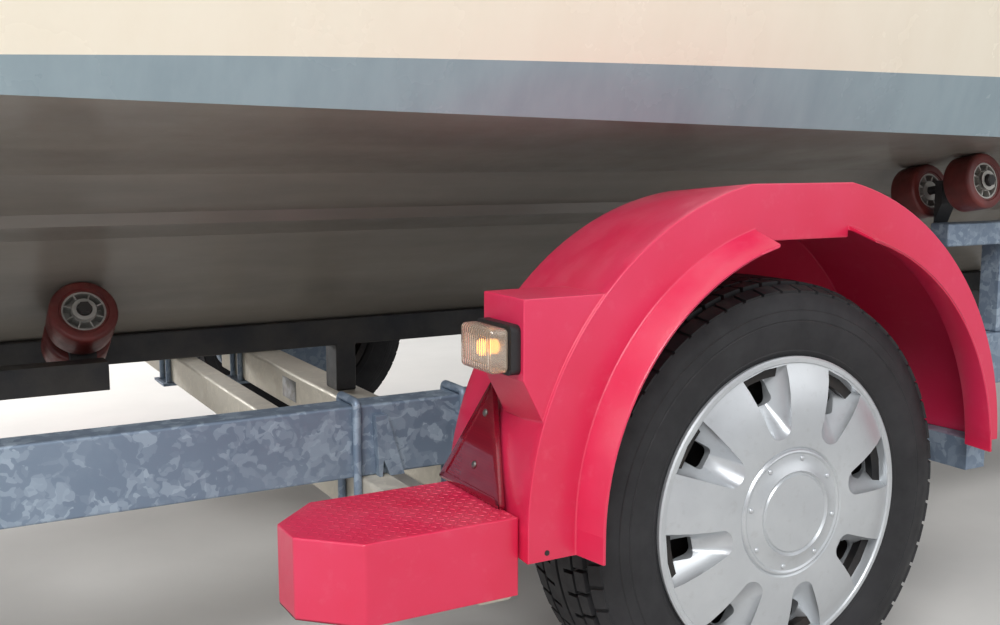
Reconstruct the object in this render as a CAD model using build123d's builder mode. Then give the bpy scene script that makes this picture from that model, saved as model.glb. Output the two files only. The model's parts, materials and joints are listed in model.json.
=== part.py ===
from build123d import *
import os
from math import atan2, cos, degrees, hypot, radians, sin, tan

# A small open speedboat with an outboard engine, standing on its single-axle road trailer.
# +X points to the bow, +Y to port and +Z up. The origin is on the ground, under the middle of the box.
# All sizes are in millimetres. Lengths named "..._ahead" are measured forward from the axle line.

# Overall length, from the coupling's nose to the back of the light board
nose_ahead = 3850.0
rear_ahead = -2770.0
axle_x = -(nose_ahead + rear_ahead) / 2
seat_gap = 0.3

# Running gear
tyre_radius = 296.5
tyre_width = 185.0
tyre_seat_radius = 180.0
wheel_outboard = 179.0
rim_wall = 5.0
rim_flange = 12.0
hubcap_radius = 201.0
hubcap_wall = 4.0
hubcap_vents = 8
drum_radius = 112.0
spindle_radius = 16.0
axle_tube_ahead = 221.0
axle_tube_side = 76.0
axle_tube_half = 735.0
wheel_y = axle_tube_half + wheel_outboard
arm_thickness = 30.0
axle_z = tyre_radius

# Trailer frame
rail_height = 104.0
rail_width = 50.0
rail_outer_y = 604.0
rail_bottom_z = 298.0
rail_rear_ahead = -1760.0
rail_bend_ahead = 1350.0
rail_nose_ahead = 2600.0
drawbar_side = 80.0
drawbar_rear_ahead = 1010.0
drawbar_front_ahead = 3360.0
cross_height = 65.0
cross_length = 46.0
keel_beam_width = 60.0
keel_beam_height = 52.0
keel_beam_rear_ahead = -1640.0
keel_beam_front_ahead = 1120.0
keel_foot_places = (-1667.0, -677.0, axle_tube_ahead)

# Mudguards, steps, marker lamps and front reflectors
guard_inner_y = wheel_y - 128.0
guard_outer_y = wheel_y + 106.0
guard_wall = 4.0
guard_foot_z = rail_bottom_z + seat_gap
stay_height = 46.0
stay_length = 40.0
crown_half = 78.0
crown_edge_z = 648.0
step_length = 245.0
step_inner_y = wheel_y - 84.0
step_outer_y = wheel_y + 86.0
step_bottom_z = 256.0
step_top_z = 348.0
step_chamfer = 58.0
step_wall = 4.0
lamp_width = 80.0
lamp_height = 56.0
lamp_base_depth = 12.0
lamp_lens_depth = 24.0
lamp_y = wheel_y + 56.0
lamp_z = 540.0
bracket_front_ahead = 400.0
reflector_side = 160.0
reflector_thickness = 7.0

# Hull rollers
roller_radius = 52.0
roller_width = 58.0
roller_axle_radius = 8.0
roller_arm_side = 44.0

# Hull and deck. They meet in one inclined sheer plane.
keel_z = 441.0
keel_flat = 36.0
sheer_at_axle_z = 1372.0
sheer_rise = 0.036
deck_edge = 26.0
transom_rake = 12.0
transom_ahead = -1900.0
transom_board = 52.0
transom_clamp_z = 965.0
floor_z = 800.0
floor_thickness = 12.0
cockpit_rear_ahead = -1120.0
cockpit_front_ahead = 930.0
cockpit_half = 560.0
cockpit_flare = 0.30
cockpit_corner = 90.0
foredeck_rear_ahead = 700.0
well_front_ahead = -1310.0
well_half = 350.0
well_floor_z = 885.0
locker_ahead = 2200.0
locker_length = 300.0
locker_width = 380.0
locker_rise = 112.0
locker_depth = 200.0
rub_rail_depth = 24.0
rub_rail_height = 44.0

# Outboard engine, with its leg upright
tilt_ahead = -1930.0
tilt_z = 1004.0
steer_ahead = -2045.0
shaft_z = 280.0
plate_z = 432.0
propeller_radius = 140.0

os.makedirs("parts", exist_ok=True)


def keep(piece, name):
    # Names one finished piece and writes it.
    piece.part.label = name
    export_step(piece.part, f"parts/{name}.step")
    print(f"{name}: {len(piece.part.solids())} solids, {piece.part.volume / 1e6:.3f} litres")


def ahead(distance):
    # Place along X of a distance forward from the axle line.
    return axle_x + distance


def side_plane(y):
    # Upright lengthways plane at y, in which a point is (x, z). Its normal is -Y.
    return Plane(origin=(0, y, 0), x_dir=(1, 0, 0), z_dir=(0, -1, 0))


def outline(plane, points):
    # Flat face inside straight lines through these points of the plane.
    with BuildSketch(plane) as face:
        with BuildLine():
            Polyline(*points, close=True)
        make_face()
    return face.sketch


def strip(path, width):
    # Outline points of a bar of this width along a bent path, with mitred bends.
    sides = ([], [])
    for i, here in enumerate(path):
        steps = []
        for a, b in zip(path[max(i - 1, 0) : i + 1], path[max(i - 1, 0) + 1 : i + 2]):
            run = hypot(b[0] - a[0], b[1] - a[1])
            steps.append(((b[0] - a[0]) / run, (b[1] - a[1]) / run))
        dx = sum(step[0] for step in steps)
        dy = sum(step[1] for step in steps)
        size = hypot(dx, dy)
        across = (-dy / size, dx / size)
        reach = width / 2 / (across[1] * steps[0][0] - across[0] * steps[0][1])
        for side, sign in zip(sides, (1, -1)):
            side.append((here[0] + sign * reach * across[0], here[1] + sign * reach * across[1]))
    return sides[0] + sides[1][::-1]


def tube_between(start, end, radius):
    # Round bar from one point to another, for the piece that is being built.
    start = Vector(*start)
    end = Vector(*end)
    with BuildSketch(Plane(origin=start, z_dir=end - start)) as ring:
        Circle(radius)
    return extrude(ring.sketch, amount=(end - start).length, mode=Mode.PRIVATE)


# Hull sections: place ahead, keel z, knuckle y and z, chine y and z, sheer y, deck crown, side bulge
aft_stations = [
    (-2040.0, keel_z, 460.0, 722.0, 785.0, 757.0, 925.0, 10.0, 16.0),
    (900.0, keel_z, 460.0, 726.0, 790.0, 813.0, 968.0, 30.0, 12.0),
]
fore_stations = [
    aft_stations[-1],
    (1300.0, keel_z + 3, 450.0, 738.0, 762.0, 830.0, 948.0, 44.0, 6.0),
    (1850.0, 474.0, 372.0, 764.0, 650.0, 878.0, 850.0, 62.0, -8.0),
    (2430.0, 590.0, 224.0, 842.0, 395.0, 968.0, 618.0, 64.0, -20.0),
    (2830.0, 830.0, 100.0, 1000.0, 168.0, 1090.0, 330.0, 42.0, -14.0),
    (3010.0, 1190.0, 24.0, 1236.0, 40.0, 1272.0, 64.0, 12.0, -2.0),
]
# Spray strakes: inner and outer edge, as shares of the keel to knuckle panel
strakes = [(0.66, 0.80)]
strake_drop = 17.0


def sheer_z(distance):
    # Height of the sheer plane at a distance ahead of the axle.
    return sheer_at_axle_z + sheer_rise * distance


def bottom_z(distance, y):
    # Height of the hull's bottom panels over the straight run aft, at y from the centreline.
    rear, front = aft_stations
    share = (distance - rear[0]) / (front[0] - rear[0])
    keel, knuckle_y, knuckle_z, chine_y, chine_z = [
        rear[i] + share * (front[i] - rear[i]) for i in range(1, 6)
    ]
    if y <= knuckle_y:
        return keel + (knuckle_z - keel) * (y - keel_flat / 2) / (knuckle_y - keel_flat / 2)
    return knuckle_z + (chine_z - knuckle_z) * (y - knuckle_y) / (chine_y - knuckle_y)


def hull_section(station):
    # Closed section through keel, strakes, knuckle, chine, sheer and deck crown.
    distance, keel, knuckle_y, knuckle_z, chine_y, chine_z, sheer_y, crown, bulge = station
    fullness = knuckle_y / aft_stations[0][2]
    foot_y = keel_flat / 2 * max(fullness, 0.4)
    half = [(foot_y, keel)]
    slope = (knuckle_z - keel) / (knuckle_y - foot_y)
    for inner, outer in strakes:
        y_in, y_out = [foot_y + share * (knuckle_y - foot_y) for share in (inner, outer)]
        z_in, z_out = [keel + share * (knuckle_z - keel) for share in (inner, outer)]
        half += [(y_in, z_in), (y_out, z_out - strake_drop * fullness), (y_out + 1, z_out + slope)]
    half += [(knuckle_y, knuckle_z), (chine_y, chine_z)]
    sheer = (sheer_y, sheer_z(distance))
    edge = (sheer_y, sheer[1] + deck_edge)
    middle = ((chine_y + sheer_y) / 2 + bulge, (chine_z + sheer[1]) / 2)
    with BuildSketch(Plane.YZ.offset(ahead(distance))) as section:
        with BuildLine():
            Polyline(*half)
            ThreePointArc(half[-1], middle, sheer)
            Line(sheer, edge)
            ThreePointArc(edge, (0, edge[1] + crown), (-edge[0], edge[1]))
            Line((-edge[0], edge[1]), (-sheer[0], sheer[1]))
            ThreePointArc((-sheer[0], sheer[1]), (-middle[0], middle[1]), (-chine_y, chine_z))
            Polyline(*[(-y, z) for y, z in half[::-1]])
            Line((-foot_y, keel), (foot_y, keel))
        make_face()
    return section.sketch


# Whole form of the boat, before it is parted into hull and deck
with BuildPart() as boat_form:
    loft([hull_section(station) for station in aft_stations], ruled=True)
    loft([hull_section(station) for station in fore_stations])
    transom_plane = Plane(
        origin=(ahead(transom_ahead), 0, transom_clamp_z),
        x_dir=(0, 1, 0),
        z_dir=(cos(radians(transom_rake)), 0, sin(radians(transom_rake))),
    )
    split(bisect_by=transom_plane, keep=Keep.TOP)

sheer_plane = Plane(
    origin=(ahead(0), 0, sheer_at_axle_z), x_dir=(1, 0, sheer_rise), z_dir=(-sheer_rise, 0, 1)
)


def cockpit_level(z, front_ahead, grow=0.0):
    # Rounded outline of the cockpit at one height.
    half = cockpit_half + cockpit_flare * (z - floor_z) + grow
    rear = ahead(cockpit_rear_ahead) - grow
    front = ahead(front_ahead) + grow
    with BuildSketch(Plane.XY.offset(z)) as level:
        with Locations(((rear + front) / 2, 0)):
            RectangleRounded(front - rear, 2 * half, cockpit_corner + grow)
    return level.sketch


cut_top_z = 1700.0
transom_lean = tan(radians(transom_rake))


def transom_x(z):
    # Place of the transom's outer face at a height.
    return ahead(transom_ahead) - transom_lean * (z - transom_clamp_z)


# Anchor locker: a hollow under the foredeck, with a raised coaming round its mouth
with BuildPart() as locker_space:
    with BuildSketch(sheer_plane.offset(locker_rise + 5)):
        with Locations((locker_ahead, 0)):
            RectangleRounded(locker_length, locker_width, 25)
    extrude(amount=-(locker_rise + 5 + locker_depth))

# Splash well ahead of the engine, with the transom lowered to the clamp height behind it
with BuildPart() as well_space:
    with BuildSketch(side_plane(0)):
        with BuildLine():
            Polyline(
                (transom_x(well_floor_z) + transom_board, well_floor_z),
                (ahead(well_front_ahead), well_floor_z + 30),
                (ahead(well_front_ahead), cut_top_z),
                (transom_x(cut_top_z) - 200, cut_top_z),
                (transom_x(transom_clamp_z) - 200, transom_clamp_z),
                (transom_x(transom_clamp_z) + transom_board, transom_clamp_z),
                close=True,
            )
        make_face()
    extrude(amount=well_half, both=True)

with BuildPart() as hull:
    add(boat_form.part)
    split(bisect_by=sheer_plane, keep=Keep.BOTTOM)
    loft(
        [cockpit_level(z, cockpit_front_ahead) for z in (floor_z, cut_top_z)],
        ruled=True,
        mode=Mode.SUBTRACT,
    )
    add(well_space.part, mode=Mode.SUBTRACT)
    add(locker_space.part, mode=Mode.SUBTRACT)
keep(hull, "hull")

with BuildPart() as deck:
    add(boat_form.part)
    split(bisect_by=sheer_plane, keep=Keep.TOP)
    loft(
        [cockpit_level(z, foredeck_rear_ahead) for z in (floor_z, cut_top_z)],
        ruled=True,
        mode=Mode.SUBTRACT,
    )
    add(well_space.part, mode=Mode.SUBTRACT)
    with BuildSketch(sheer_plane.offset(deck_edge)):
        with Locations((locker_ahead, 0)):
            RectangleRounded(locker_length + 50, locker_width + 50, 45)
    extrude(amount=locker_rise - deck_edge)
    add(locker_space.part, mode=Mode.SUBTRACT)
keep(deck, "deck")


# Rubbing strake over the joint, along both sides and round the bow, as a chain of tangent arcs
with BuildPart() as rub_rail:
    with BuildSketch(sheer_plane):
        with BuildLine() as side_line:
            bends = [(row[0], row[6] + rub_rail_depth) for row in aft_stations + fore_stations[2:]]
            Line((bends[0][0], 0), bends[0])
            Line(bends[0], bends[1])
            for bend in bends[2:]:
                TangentArc(side_line.line @ 1, bend, tangent=side_line.line % 1)
            nose = (bends[-1][0] + rub_rail_depth, 0)
            ThreePointArc(bends[-1], (bends[-1][0] + rub_rail_depth * 0.8, bends[-1][1] / 2), nose)
            Line(nose, (bends[0][0], 0))
        make_face()
        mirror(about=Plane.XZ)
    extrude(amount=rub_rail_height / 2, both=True)
    add(boat_form.part, mode=Mode.SUBTRACT)
    split(bisect_by=transom_plane.offset(30), keep=Keep.TOP)
keep(rub_rail, "rub_rail")

# Floor board of the cockpit
with BuildPart() as cockpit_floor:
    extrude(
        cockpit_level(floor_z + seat_gap, cockpit_front_ahead, grow=-2.0), amount=floor_thickness
    )
keep(cockpit_floor, "cockpit_floor")
deck_floor_z = floor_z + seat_gap + floor_thickness + seat_gap


# Dashboard under the rear edge of the foredeck: places ahead and heights of its cross-section
dash_profile = [
    (800.0, sheer_z(800) - seat_gap),
    (575.0, sheer_z(575) - seat_gap),
    (545.0, 1362.0),
    (520.0, 1200.0),
    (590.0, 1140.0),
    (800.0, 1140.0),
]
with BuildPart() as dashboard:
    extrude(
        outline(side_plane(0), [(ahead(x), z) for x, z in dash_profile]), amount=900, both=True
    )
    loft(
        [
            cockpit_level(floor_z, cockpit_front_ahead, grow=-seat_gap),
            cockpit_level(cut_top_z, cockpit_front_ahead, grow=-seat_gap),
        ],
        ruled=True,
        mode=Mode.INTERSECT,
    )

# Steering wheel on the starboard side of the dashboard
helm_y = -330.0
helm_tilt = 28.0
helm_radius = 165.0
helm_rim_radius = 13.0
helm_centre = (ahead(445), helm_y, 1262.0)
helm_axis = (-cos(radians(helm_tilt)), 0, sin(radians(helm_tilt)))
helm_plane = Plane(origin=helm_centre, x_dir=(0, 1, 0), z_dir=helm_axis)
with BuildPart() as helm_wheel:
    with BuildSketch(Plane(origin=helm_centre, x_dir=helm_axis, z_dir=(0, 1, 0))):
        with Locations((0, helm_radius)):
            Circle(helm_rim_radius)
    revolve(axis=Axis(helm_centre, helm_axis))
    with BuildSketch(helm_plane.offset(-6)):
        Circle(42)
        with PolarLocations(0, 3, start_angle=90):
            with Locations((helm_radius / 2, 0)):
                Rectangle(helm_radius - 14, 34)
    extrude(amount=8)
    with BuildSketch(helm_plane.offset(-40)):
        Circle(30)
    extrude(amount=46)
keep(helm_wheel, "helm_wheel")

# The helm's fixed boss is one with the dashboard
with dashboard:
    with BuildSketch(helm_plane.offset(-46)):
        Circle(34)
    extrude(amount=-90)
    with BuildSketch(helm_plane.offset(-40 - seat_gap)):
        Circle(12)
    extrude(amount=-30)
keep(dashboard, "dashboard")

# Windscreen: base points ahead and to the side, with the share of the full height that each corner reaches
screen_base_rise = 62.0
screen_lean = (-170.0, 290.0)
screen_corners = [(250.0, 800.0, 0.35), (740.0, 785.0, 1.0), (905.0, 560.0, 1.0)]
screen_glass_thickness = 5.0
screen_bar_radius = 9.0
screen_base_width = 34.0


def screen_point(corner, height):
    # Point on a raked line that stands on the windscreen's base.
    x, y = corner[0], corner[1]
    z = sheer_z(x) + screen_base_rise
    return (ahead(x) + screen_lean[0] * height, y, z + screen_lean[1] * height)


screen_sides = [(x, -y, share) for x, y, share in screen_corners[::-1]]
screen_path = screen_corners + screen_sides
with BuildPart() as windscreen_base:
    plan = strip([(ahead(x), y) for x, y, share in screen_path], screen_base_width)
    extrude(outline(Plane.XY.offset(sheer_z(0)), plan), amount=200)
    split(bisect_by=sheer_plane.offset(screen_base_rise), keep=Keep.BOTTOM)
    add(boat_form.part, mode=Mode.SUBTRACT)
keep(windscreen_base, "windscreen_base")

with BuildPart() as windscreen_glass:
    for start, end in zip(screen_path, screen_path[1:]):
        corners = [
            Vector(*screen_point(start, 0.0)),
            Vector(*screen_point(end, 0.0)),
            Vector(*screen_point(end, end[2])),
            Vector(*screen_point(start, start[2])),
        ]
        along = (corners[1] - corners[0]).normalized()
        pane = Plane(
            origin=corners[0], x_dir=along, z_dir=along.cross(corners[2] - corners[1])
        )
        flat = [pane.to_local_coords(corner) for corner in corners]
        inset = 7.0
        bottom = [(flat[0].X + inset, 0), (flat[1].X - inset, 0)]
        top = [(flat[2].X - inset, flat[2].Y - inset), (flat[3].X + inset, flat[3].Y - inset)]
        extrude(outline(pane, bottom + top), amount=screen_glass_thickness / 2, both=True)
    add(windscreen_base.part, mode=Mode.SUBTRACT)
keep(windscreen_glass, "windscreen_glass")

with BuildPart() as windscreen_frame:
    tops = [screen_point(corner, corner[2]) for corner in screen_path]
    feet = [screen_point(corner, 0.0) for corner in screen_path]
    for start, end in zip(tops, tops[1:]):
        add(tube_between(start, end, screen_bar_radius))
    for foot, top in zip(feet, tops):
        add(tube_between(foot, top, screen_bar_radius))
    for top in tops:
        with Locations(top):
            Sphere(screen_bar_radius)
    add(windscreen_glass.part, mode=Mode.SUBTRACT)
    add(windscreen_base.part, mode=Mode.SUBTRACT)
keep(windscreen_frame, "windscreen_frame")

# Seats: boxes on the floor, with a cushion and a backrest on each
seat_y = 320.0
seat_width = 440.0
seat_length = 440.0
seat_rear_ahead = -260.0
seat_box_height = 240.0
cushion_height = 110.0
back_height = 400.0
back_thickness = 95.0
back_lean = 12.0
bench_length = 400.0
bench_height = 225.0
bench_half = 535.0
bench_back_height = 300.0
bench_back_thickness = 80.0
cushion_z = deck_floor_z + seat_box_height + seat_gap
bench_front = ahead(cockpit_rear_ahead) + 4 + bench_length

with BuildPart() as seat_boxes:
    with BuildSketch(Plane.XY.offset(deck_floor_z)):
        with Locations(
            (ahead(seat_rear_ahead) + seat_length / 2, seat_y),
            (ahead(seat_rear_ahead) + seat_length / 2, -seat_y),
        ):
            RectangleRounded(seat_length - 60, seat_width - 40, 40)
    extrude(amount=seat_box_height)
    with BuildSketch(Plane.XY.offset(deck_floor_z)):
        with Locations((bench_front - bench_length / 2, 0)):
            RectangleRounded(bench_length - 40, 2 * bench_half - 20, 60)
    extrude(amount=bench_height)
keep(seat_boxes, "seat_boxes")

with BuildPart() as seat_cushions:
    for y in (seat_y, -seat_y):
        with Locations((ahead(seat_rear_ahead) + seat_length / 2, y, cushion_z + cushion_height / 2)):
            Box(seat_length, seat_width, cushion_height)
    fillet(seat_cushions.edges().filter_by(Axis.Z), 50)
    fillet(seat_cushions.faces().group_by(Axis.Z)[-1].edges(), 22)
    for y in (seat_y, -seat_y):
        foot = (ahead(seat_rear_ahead) - seat_gap, y, cushion_z + 20)
        lean = Plane(
            origin=foot,
            x_dir=(0, 1, 0),
            z_dir=(-sin(radians(back_lean)), 0, cos(radians(back_lean))),
        )
        with BuildSketch(lean):
            with Locations((0, back_thickness / 2)):
                RectangleRounded(seat_width, back_thickness, 30)
        extrude(amount=back_height)
keep(seat_cushions, "seat_cushions")

with BuildPart() as bench_cushions:
    with Locations(
        (bench_front - bench_length / 2, 0, deck_floor_z + bench_height + seat_gap + cushion_height / 2)
    ):
        Box(bench_length, 2 * bench_half, cushion_height)
    fillet(bench_cushions.edges().filter_by(Axis.Z), 60)
    back_z = deck_floor_z + bench_height + cushion_height + 3 * seat_gap
    with Locations(
        (
            ahead(cockpit_rear_ahead) + 4 + bench_back_thickness / 2,
            0,
            back_z + bench_back_height / 2,
        )
    ):
        Box(bench_back_thickness, 2 * bench_half, bench_back_height)
    fillet(bench_cushions.solids().sort_by(Axis.Z)[-1].edges().filter_by(Axis.Z), 30)
keep(bench_cushions, "bench_cushions")

# Bow rail: places ahead and to the side of its bends, in a plane above the sheer
bow_rail_radius = 12.0
bow_rail_rise = 250.0
bow_rail_bends = [(1450.0, 850.0), (1900.0, 765.0), (2430.0, 545.0), (2830.0, 220.0)]
bow_rail_posts = [(1462.0, 848.0), (1900.0, 761.0), (2430.0, 536.0), (2822.0, 214.0)]
bow_rail_turn = 160.0


def over_sheer(distance, y, rise):
    # Point above the sheer plane.
    return (ahead(distance), y, sheer_z(distance) + rise)


with BuildPart() as bow_rail:
    port = [over_sheer(x, y, bow_rail_rise) for x, y in bow_rail_bends]
    starboard = [(x, -y, z) for x, y, z in port[::-1]]
    with BuildLine() as rail_line:
        FilletPolyline(*port, *starboard, radius=bow_rail_turn)
    with BuildSketch(Plane(origin=rail_line.line @ 0, z_dir=rail_line.line % 0)):
        Circle(bow_rail_radius)
    sweep(path=rail_line.line)
    for x, y in bow_rail_posts:
        for side in (1, -1):
            top = over_sheer(x, side * y, bow_rail_rise)
            add(tube_between((top[0], top[1], sheer_z(x)), top, bow_rail_radius * 0.9))
    add(boat_form.part, mode=Mode.SUBTRACT)
keep(bow_rail, "bow_rail")

# Deck fittings, each with its foot cut to the surface that it stands on
cleat_places = [(2580.0, 330.0, 88.0), (-1500.0, 800.0, 62.0)]
cleat_length = 150.0
eye_radius = 22.0
eye_z = 862.0
eye_ahead = 2850.0
with BuildPart() as deck_fittings:
    for x, y, rise in cleat_places:
        for side in (1, -1):
            top = over_sheer(x, side * y, rise)
            for shift in (-22, 22):
                with Locations((top[0] + shift, top[1], top[2] - 55)):
                    Box(18, 16, 110)
            with Locations(top):
                Box(cleat_length, 16, 13)
    with BuildSketch(side_plane(0)):
        with Locations((ahead(eye_ahead), eye_z)):
            Circle(eye_radius + 6)
            Circle(eye_radius - 6, mode=Mode.SUBTRACT)
    extrude(amount=6, both=True)
    with Locations((ahead(2960), 0, sheer_z(2960) + deck_edge + 28)):
        Box(64, 44, 52)
    add(boat_form.part, mode=Mode.SUBTRACT)
keep(deck_fittings, "deck_fittings")

# Lid of the anchor locker, hinged along its rear edge
lid_length = 360.0
lid_width = 440.0
lid_thickness = 18.0
lid_plane = sheer_plane.offset(locker_rise + seat_gap)
with BuildPart() as locker_lid:
    with BuildSketch(lid_plane):
        with Locations((locker_ahead, 0)):
            RectangleRounded(lid_length, lid_width, 30)
    extrude(amount=lid_thickness)
keep(locker_lid, "locker_lid")


# Trailer frame
rail_y = rail_outer_y - rail_width / 2
rail_top_z = rail_bottom_z + rail_height
drawbar_half = drawbar_side / 2
drawbar_top_z = rail_bottom_z + drawbar_side
port_side = Plane.XZ.offset(-drawbar_half)

with BuildPart() as side_rails:
    rail_path = [
        (ahead(rail_rear_ahead), rail_y),
        (ahead(rail_bend_ahead), rail_y),
        (ahead(rail_nose_ahead), 0),
    ]
    extrude(outline(Plane.XY.offset(rail_bottom_z), strip(rail_path, rail_width)), amount=rail_height)
    split(bisect_by=port_side, keep=Keep.BOTTOM)
    mirror(about=Plane.XZ)
keep(side_rails, "side_rails")

with BuildPart() as drawbar:
    with Locations(
        (ahead((drawbar_rear_ahead + drawbar_front_ahead) / 2), 0, rail_bottom_z + drawbar_half)
    ):
        Box(drawbar_front_ahead - drawbar_rear_ahead, drawbar_side, drawbar_side)
keep(drawbar, "drawbar")

# Cross tubes under the rails: rear face ahead of the axle, half length
cross_rows = [
    (-1690.0, rail_outer_y),
    (-700.0, rail_outer_y),
    (381.0, step_outer_y - 40),
    (1010.0, rail_outer_y),
]
cross_z = rail_bottom_z - cross_height / 2
with BuildPart() as cross_tubes:
    for rear, half in cross_rows:
        with Locations((ahead(rear + cross_length / 2), 0, cross_z)):
            Box(cross_length, 2 * half, cross_height)
keep(cross_tubes, "cross_tubes")

# Keel beam on short uprights
keel_beam_top_z = keel_z - seat_gap
keel_beam_bottom_z = keel_beam_top_z - keel_beam_height
with BuildPart() as keel_beam:
    with Locations(
        (
            ahead((keel_beam_rear_ahead + keel_beam_front_ahead) / 2),
            0,
            keel_beam_top_z - keel_beam_height / 2,
        )
    ):
        Box(keel_beam_front_ahead - keel_beam_rear_ahead, keel_beam_width, keel_beam_height)
    for distance in keel_foot_places:
        foot_height = keel_beam_bottom_z - rail_bottom_z
        with Locations((ahead(distance), 0, rail_bottom_z + foot_height / 2)):
            Box(cross_length - 6, keel_beam_width, foot_height)
    foot_height = keel_beam_bottom_z - drawbar_top_z
    with Locations((ahead(drawbar_rear_ahead + cross_length / 2), 0, drawbar_top_z + foot_height / 2)):
        Box(cross_length + 24, keel_beam_width, foot_height)
keep(keel_beam, "keel_beam")

axle_tube_z = rail_bottom_z - axle_tube_side / 2
with BuildPart() as axle_tube:
    with Locations((ahead(axle_tube_ahead), 0, axle_tube_z)):
        Box(axle_tube_side, 2 * axle_tube_half, axle_tube_side)
keep(axle_tube, "axle_tube")

# Trailing arms with brake backplates and spindles
arm_y = axle_tube_half + seat_gap
plate_y = arm_y + arm_thickness
spindle_end_y = wheel_y + 22
with BuildPart() as swing_arms:
    with BuildSketch(Plane(origin=(0, arm_y, 0), x_dir=(1, 0, 0), z_dir=(0, -1, 0))):
        with BuildLine():
            lean = atan2(axle_z - axle_tube_z, -axle_tube_ahead)
            CenterArc((ahead(axle_tube_ahead), axle_tube_z), 44, degrees(lean) - 270, 180)
            CenterArc((axle_x, axle_z), 44, degrees(lean) - 90, 180)
            Line(
                (ahead(axle_tube_ahead) + 44 * sin(lean), axle_tube_z - 44 * cos(lean)),
                (axle_x + 44 * sin(lean), axle_z - 44 * cos(lean)),
            )
            Line(
                (ahead(axle_tube_ahead) - 44 * sin(lean), axle_tube_z + 44 * cos(lean)),
                (axle_x - 44 * sin(lean), axle_z + 44 * cos(lean)),
            )
        make_face()
    extrude(amount=-arm_thickness)
    with BuildSketch(Plane(origin=(axle_x, plate_y, axle_z), x_dir=(1, 0, 0), z_dir=(0, 1, 0))):
        Circle(drum_radius + 8)
    extrude(amount=5)
    with BuildSketch(Plane(origin=(axle_x, plate_y, axle_z), x_dir=(1, 0, 0), z_dir=(0, 1, 0))):
        Circle(spindle_radius)
    extrude(amount=spindle_end_y - plate_y)
    mirror(about=Plane.XZ)
keep(swing_arms, "swing_arms")

# Edges of the mudguard: y, reach ahead and behind, top and half of its flat crown.
# The guard is made between its inner and outer edge, and the lip between its root and its free edge.
guard_edges = [
    (guard_inner_y, 378.0, 702.0, 30.0),
    (guard_outer_y, 396.0, 718.0, 84.0),
]
lip_edges = [
    (guard_outer_y - guard_wall / 2, 333.0, 668.0, 60.0),
    (guard_outer_y + 45.0, 325.0, 652.0, 60.0),
]
inner_opening = (250.0, 545.0, 40.0)

# Clamps that hold cross tubes and axle to the rails: rear and front of the tube, its depth, bolt behind it
clamp_rod = 6.0
clamp_rows = [
    (cross_rows[2][0], cross_rows[2][0] + cross_length, cross_height, False),
    (axle_tube_ahead - axle_tube_side / 2, axle_tube_ahead + axle_tube_side / 2, axle_tube_side, True),
    (cross_rows[1][0], cross_rows[1][0] + cross_length, cross_height, True),
]
with BuildPart() as rail_clamps:
    for rear, front, depth, bolt_behind in clamp_rows:
        reach = clamp_rod + seat_gap
        foot_z = rail_bottom_z - depth - seat_gap - 6
        for x in (ahead(front) + reach, ahead(rear) - reach)[: 1 + bolt_behind]:
            with BuildLine() as bolt_line:
                FilletPolyline(
                    (x, rail_outer_y + reach, foot_z),
                    (x, rail_outer_y + reach, rail_top_z + reach),
                    (x, rail_outer_y - rail_width - reach, rail_top_z + reach),
                    (x, rail_outer_y - rail_width - reach, foot_z),
                    radius=reach,
                )
            with BuildSketch(Plane(origin=bolt_line.line @ 0, z_dir=bolt_line.line % 0)):
                Circle(clamp_rod)
            sweep(path=bolt_line.line)
        with Locations(((ahead(rear) + ahead(front)) / 2, rail_y, foot_z + 3)):
            Box(front - rear + 44, rail_width + 44, 6)
    # Gusset like an upturned V on the rail's outer face, over the tube that carries guard and step
    gusset_foot_z = rail_bottom_z + seat_gap
    gusset = [
        (408.0, rail_top_z - 14),
        (390.0, rail_top_z - 14),
        (364.0, gusset_foot_z),
        (386.0, gusset_foot_z),
        (396.0, gusset_foot_z + 24),
        (398.0, gusset_foot_z),
        (403.0, gusset_foot_z),
    ]
    gusset_plane = side_plane(rail_outer_y + seat_gap + 14)
    extrude(outline(gusset_plane, [(ahead(x), z) for x, z in gusset]), amount=14)
    # Stay from the rail to the rear leg of the mudguard, which stands on it
    length = step_outer_y - rail_outer_y - seat_gap
    with Locations(
        (
            ahead(stay_length / 2 - guard_edges[1][1]),
            rail_outer_y + seat_gap + length / 2,
            rail_bottom_z + stay_height / 2,
        )
    ):
        Box(stay_length, length, stay_height)
    mirror(about=Plane.XZ)
keep(rail_clamps, "rail_clamps")


def arch(y, reach, top_z, flat, foot_z=guard_foot_z):
    # Face of an arch round the wheel: upright legs, a round sweep on each side and a flat crown.
    spring_z = guard_foot_z + 32
    middle = (flat + (reach - flat) * 0.73, spring_z + (top_z - spring_z) * 0.635)
    with BuildSketch(Plane(origin=(axle_x, y, 0), x_dir=(1, 0, 0), z_dir=(0, -1, 0))) as face:
        with BuildLine():
            Polyline((0, foot_z), (reach, foot_z), (reach, spring_z))
            ThreePointArc((reach, spring_z), middle, (flat, top_z))
            Polyline((flat, top_z), (0, top_z), (0, foot_z))
        make_face()
        mirror(about=Plane.YZ)
    return face.sketch


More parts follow.
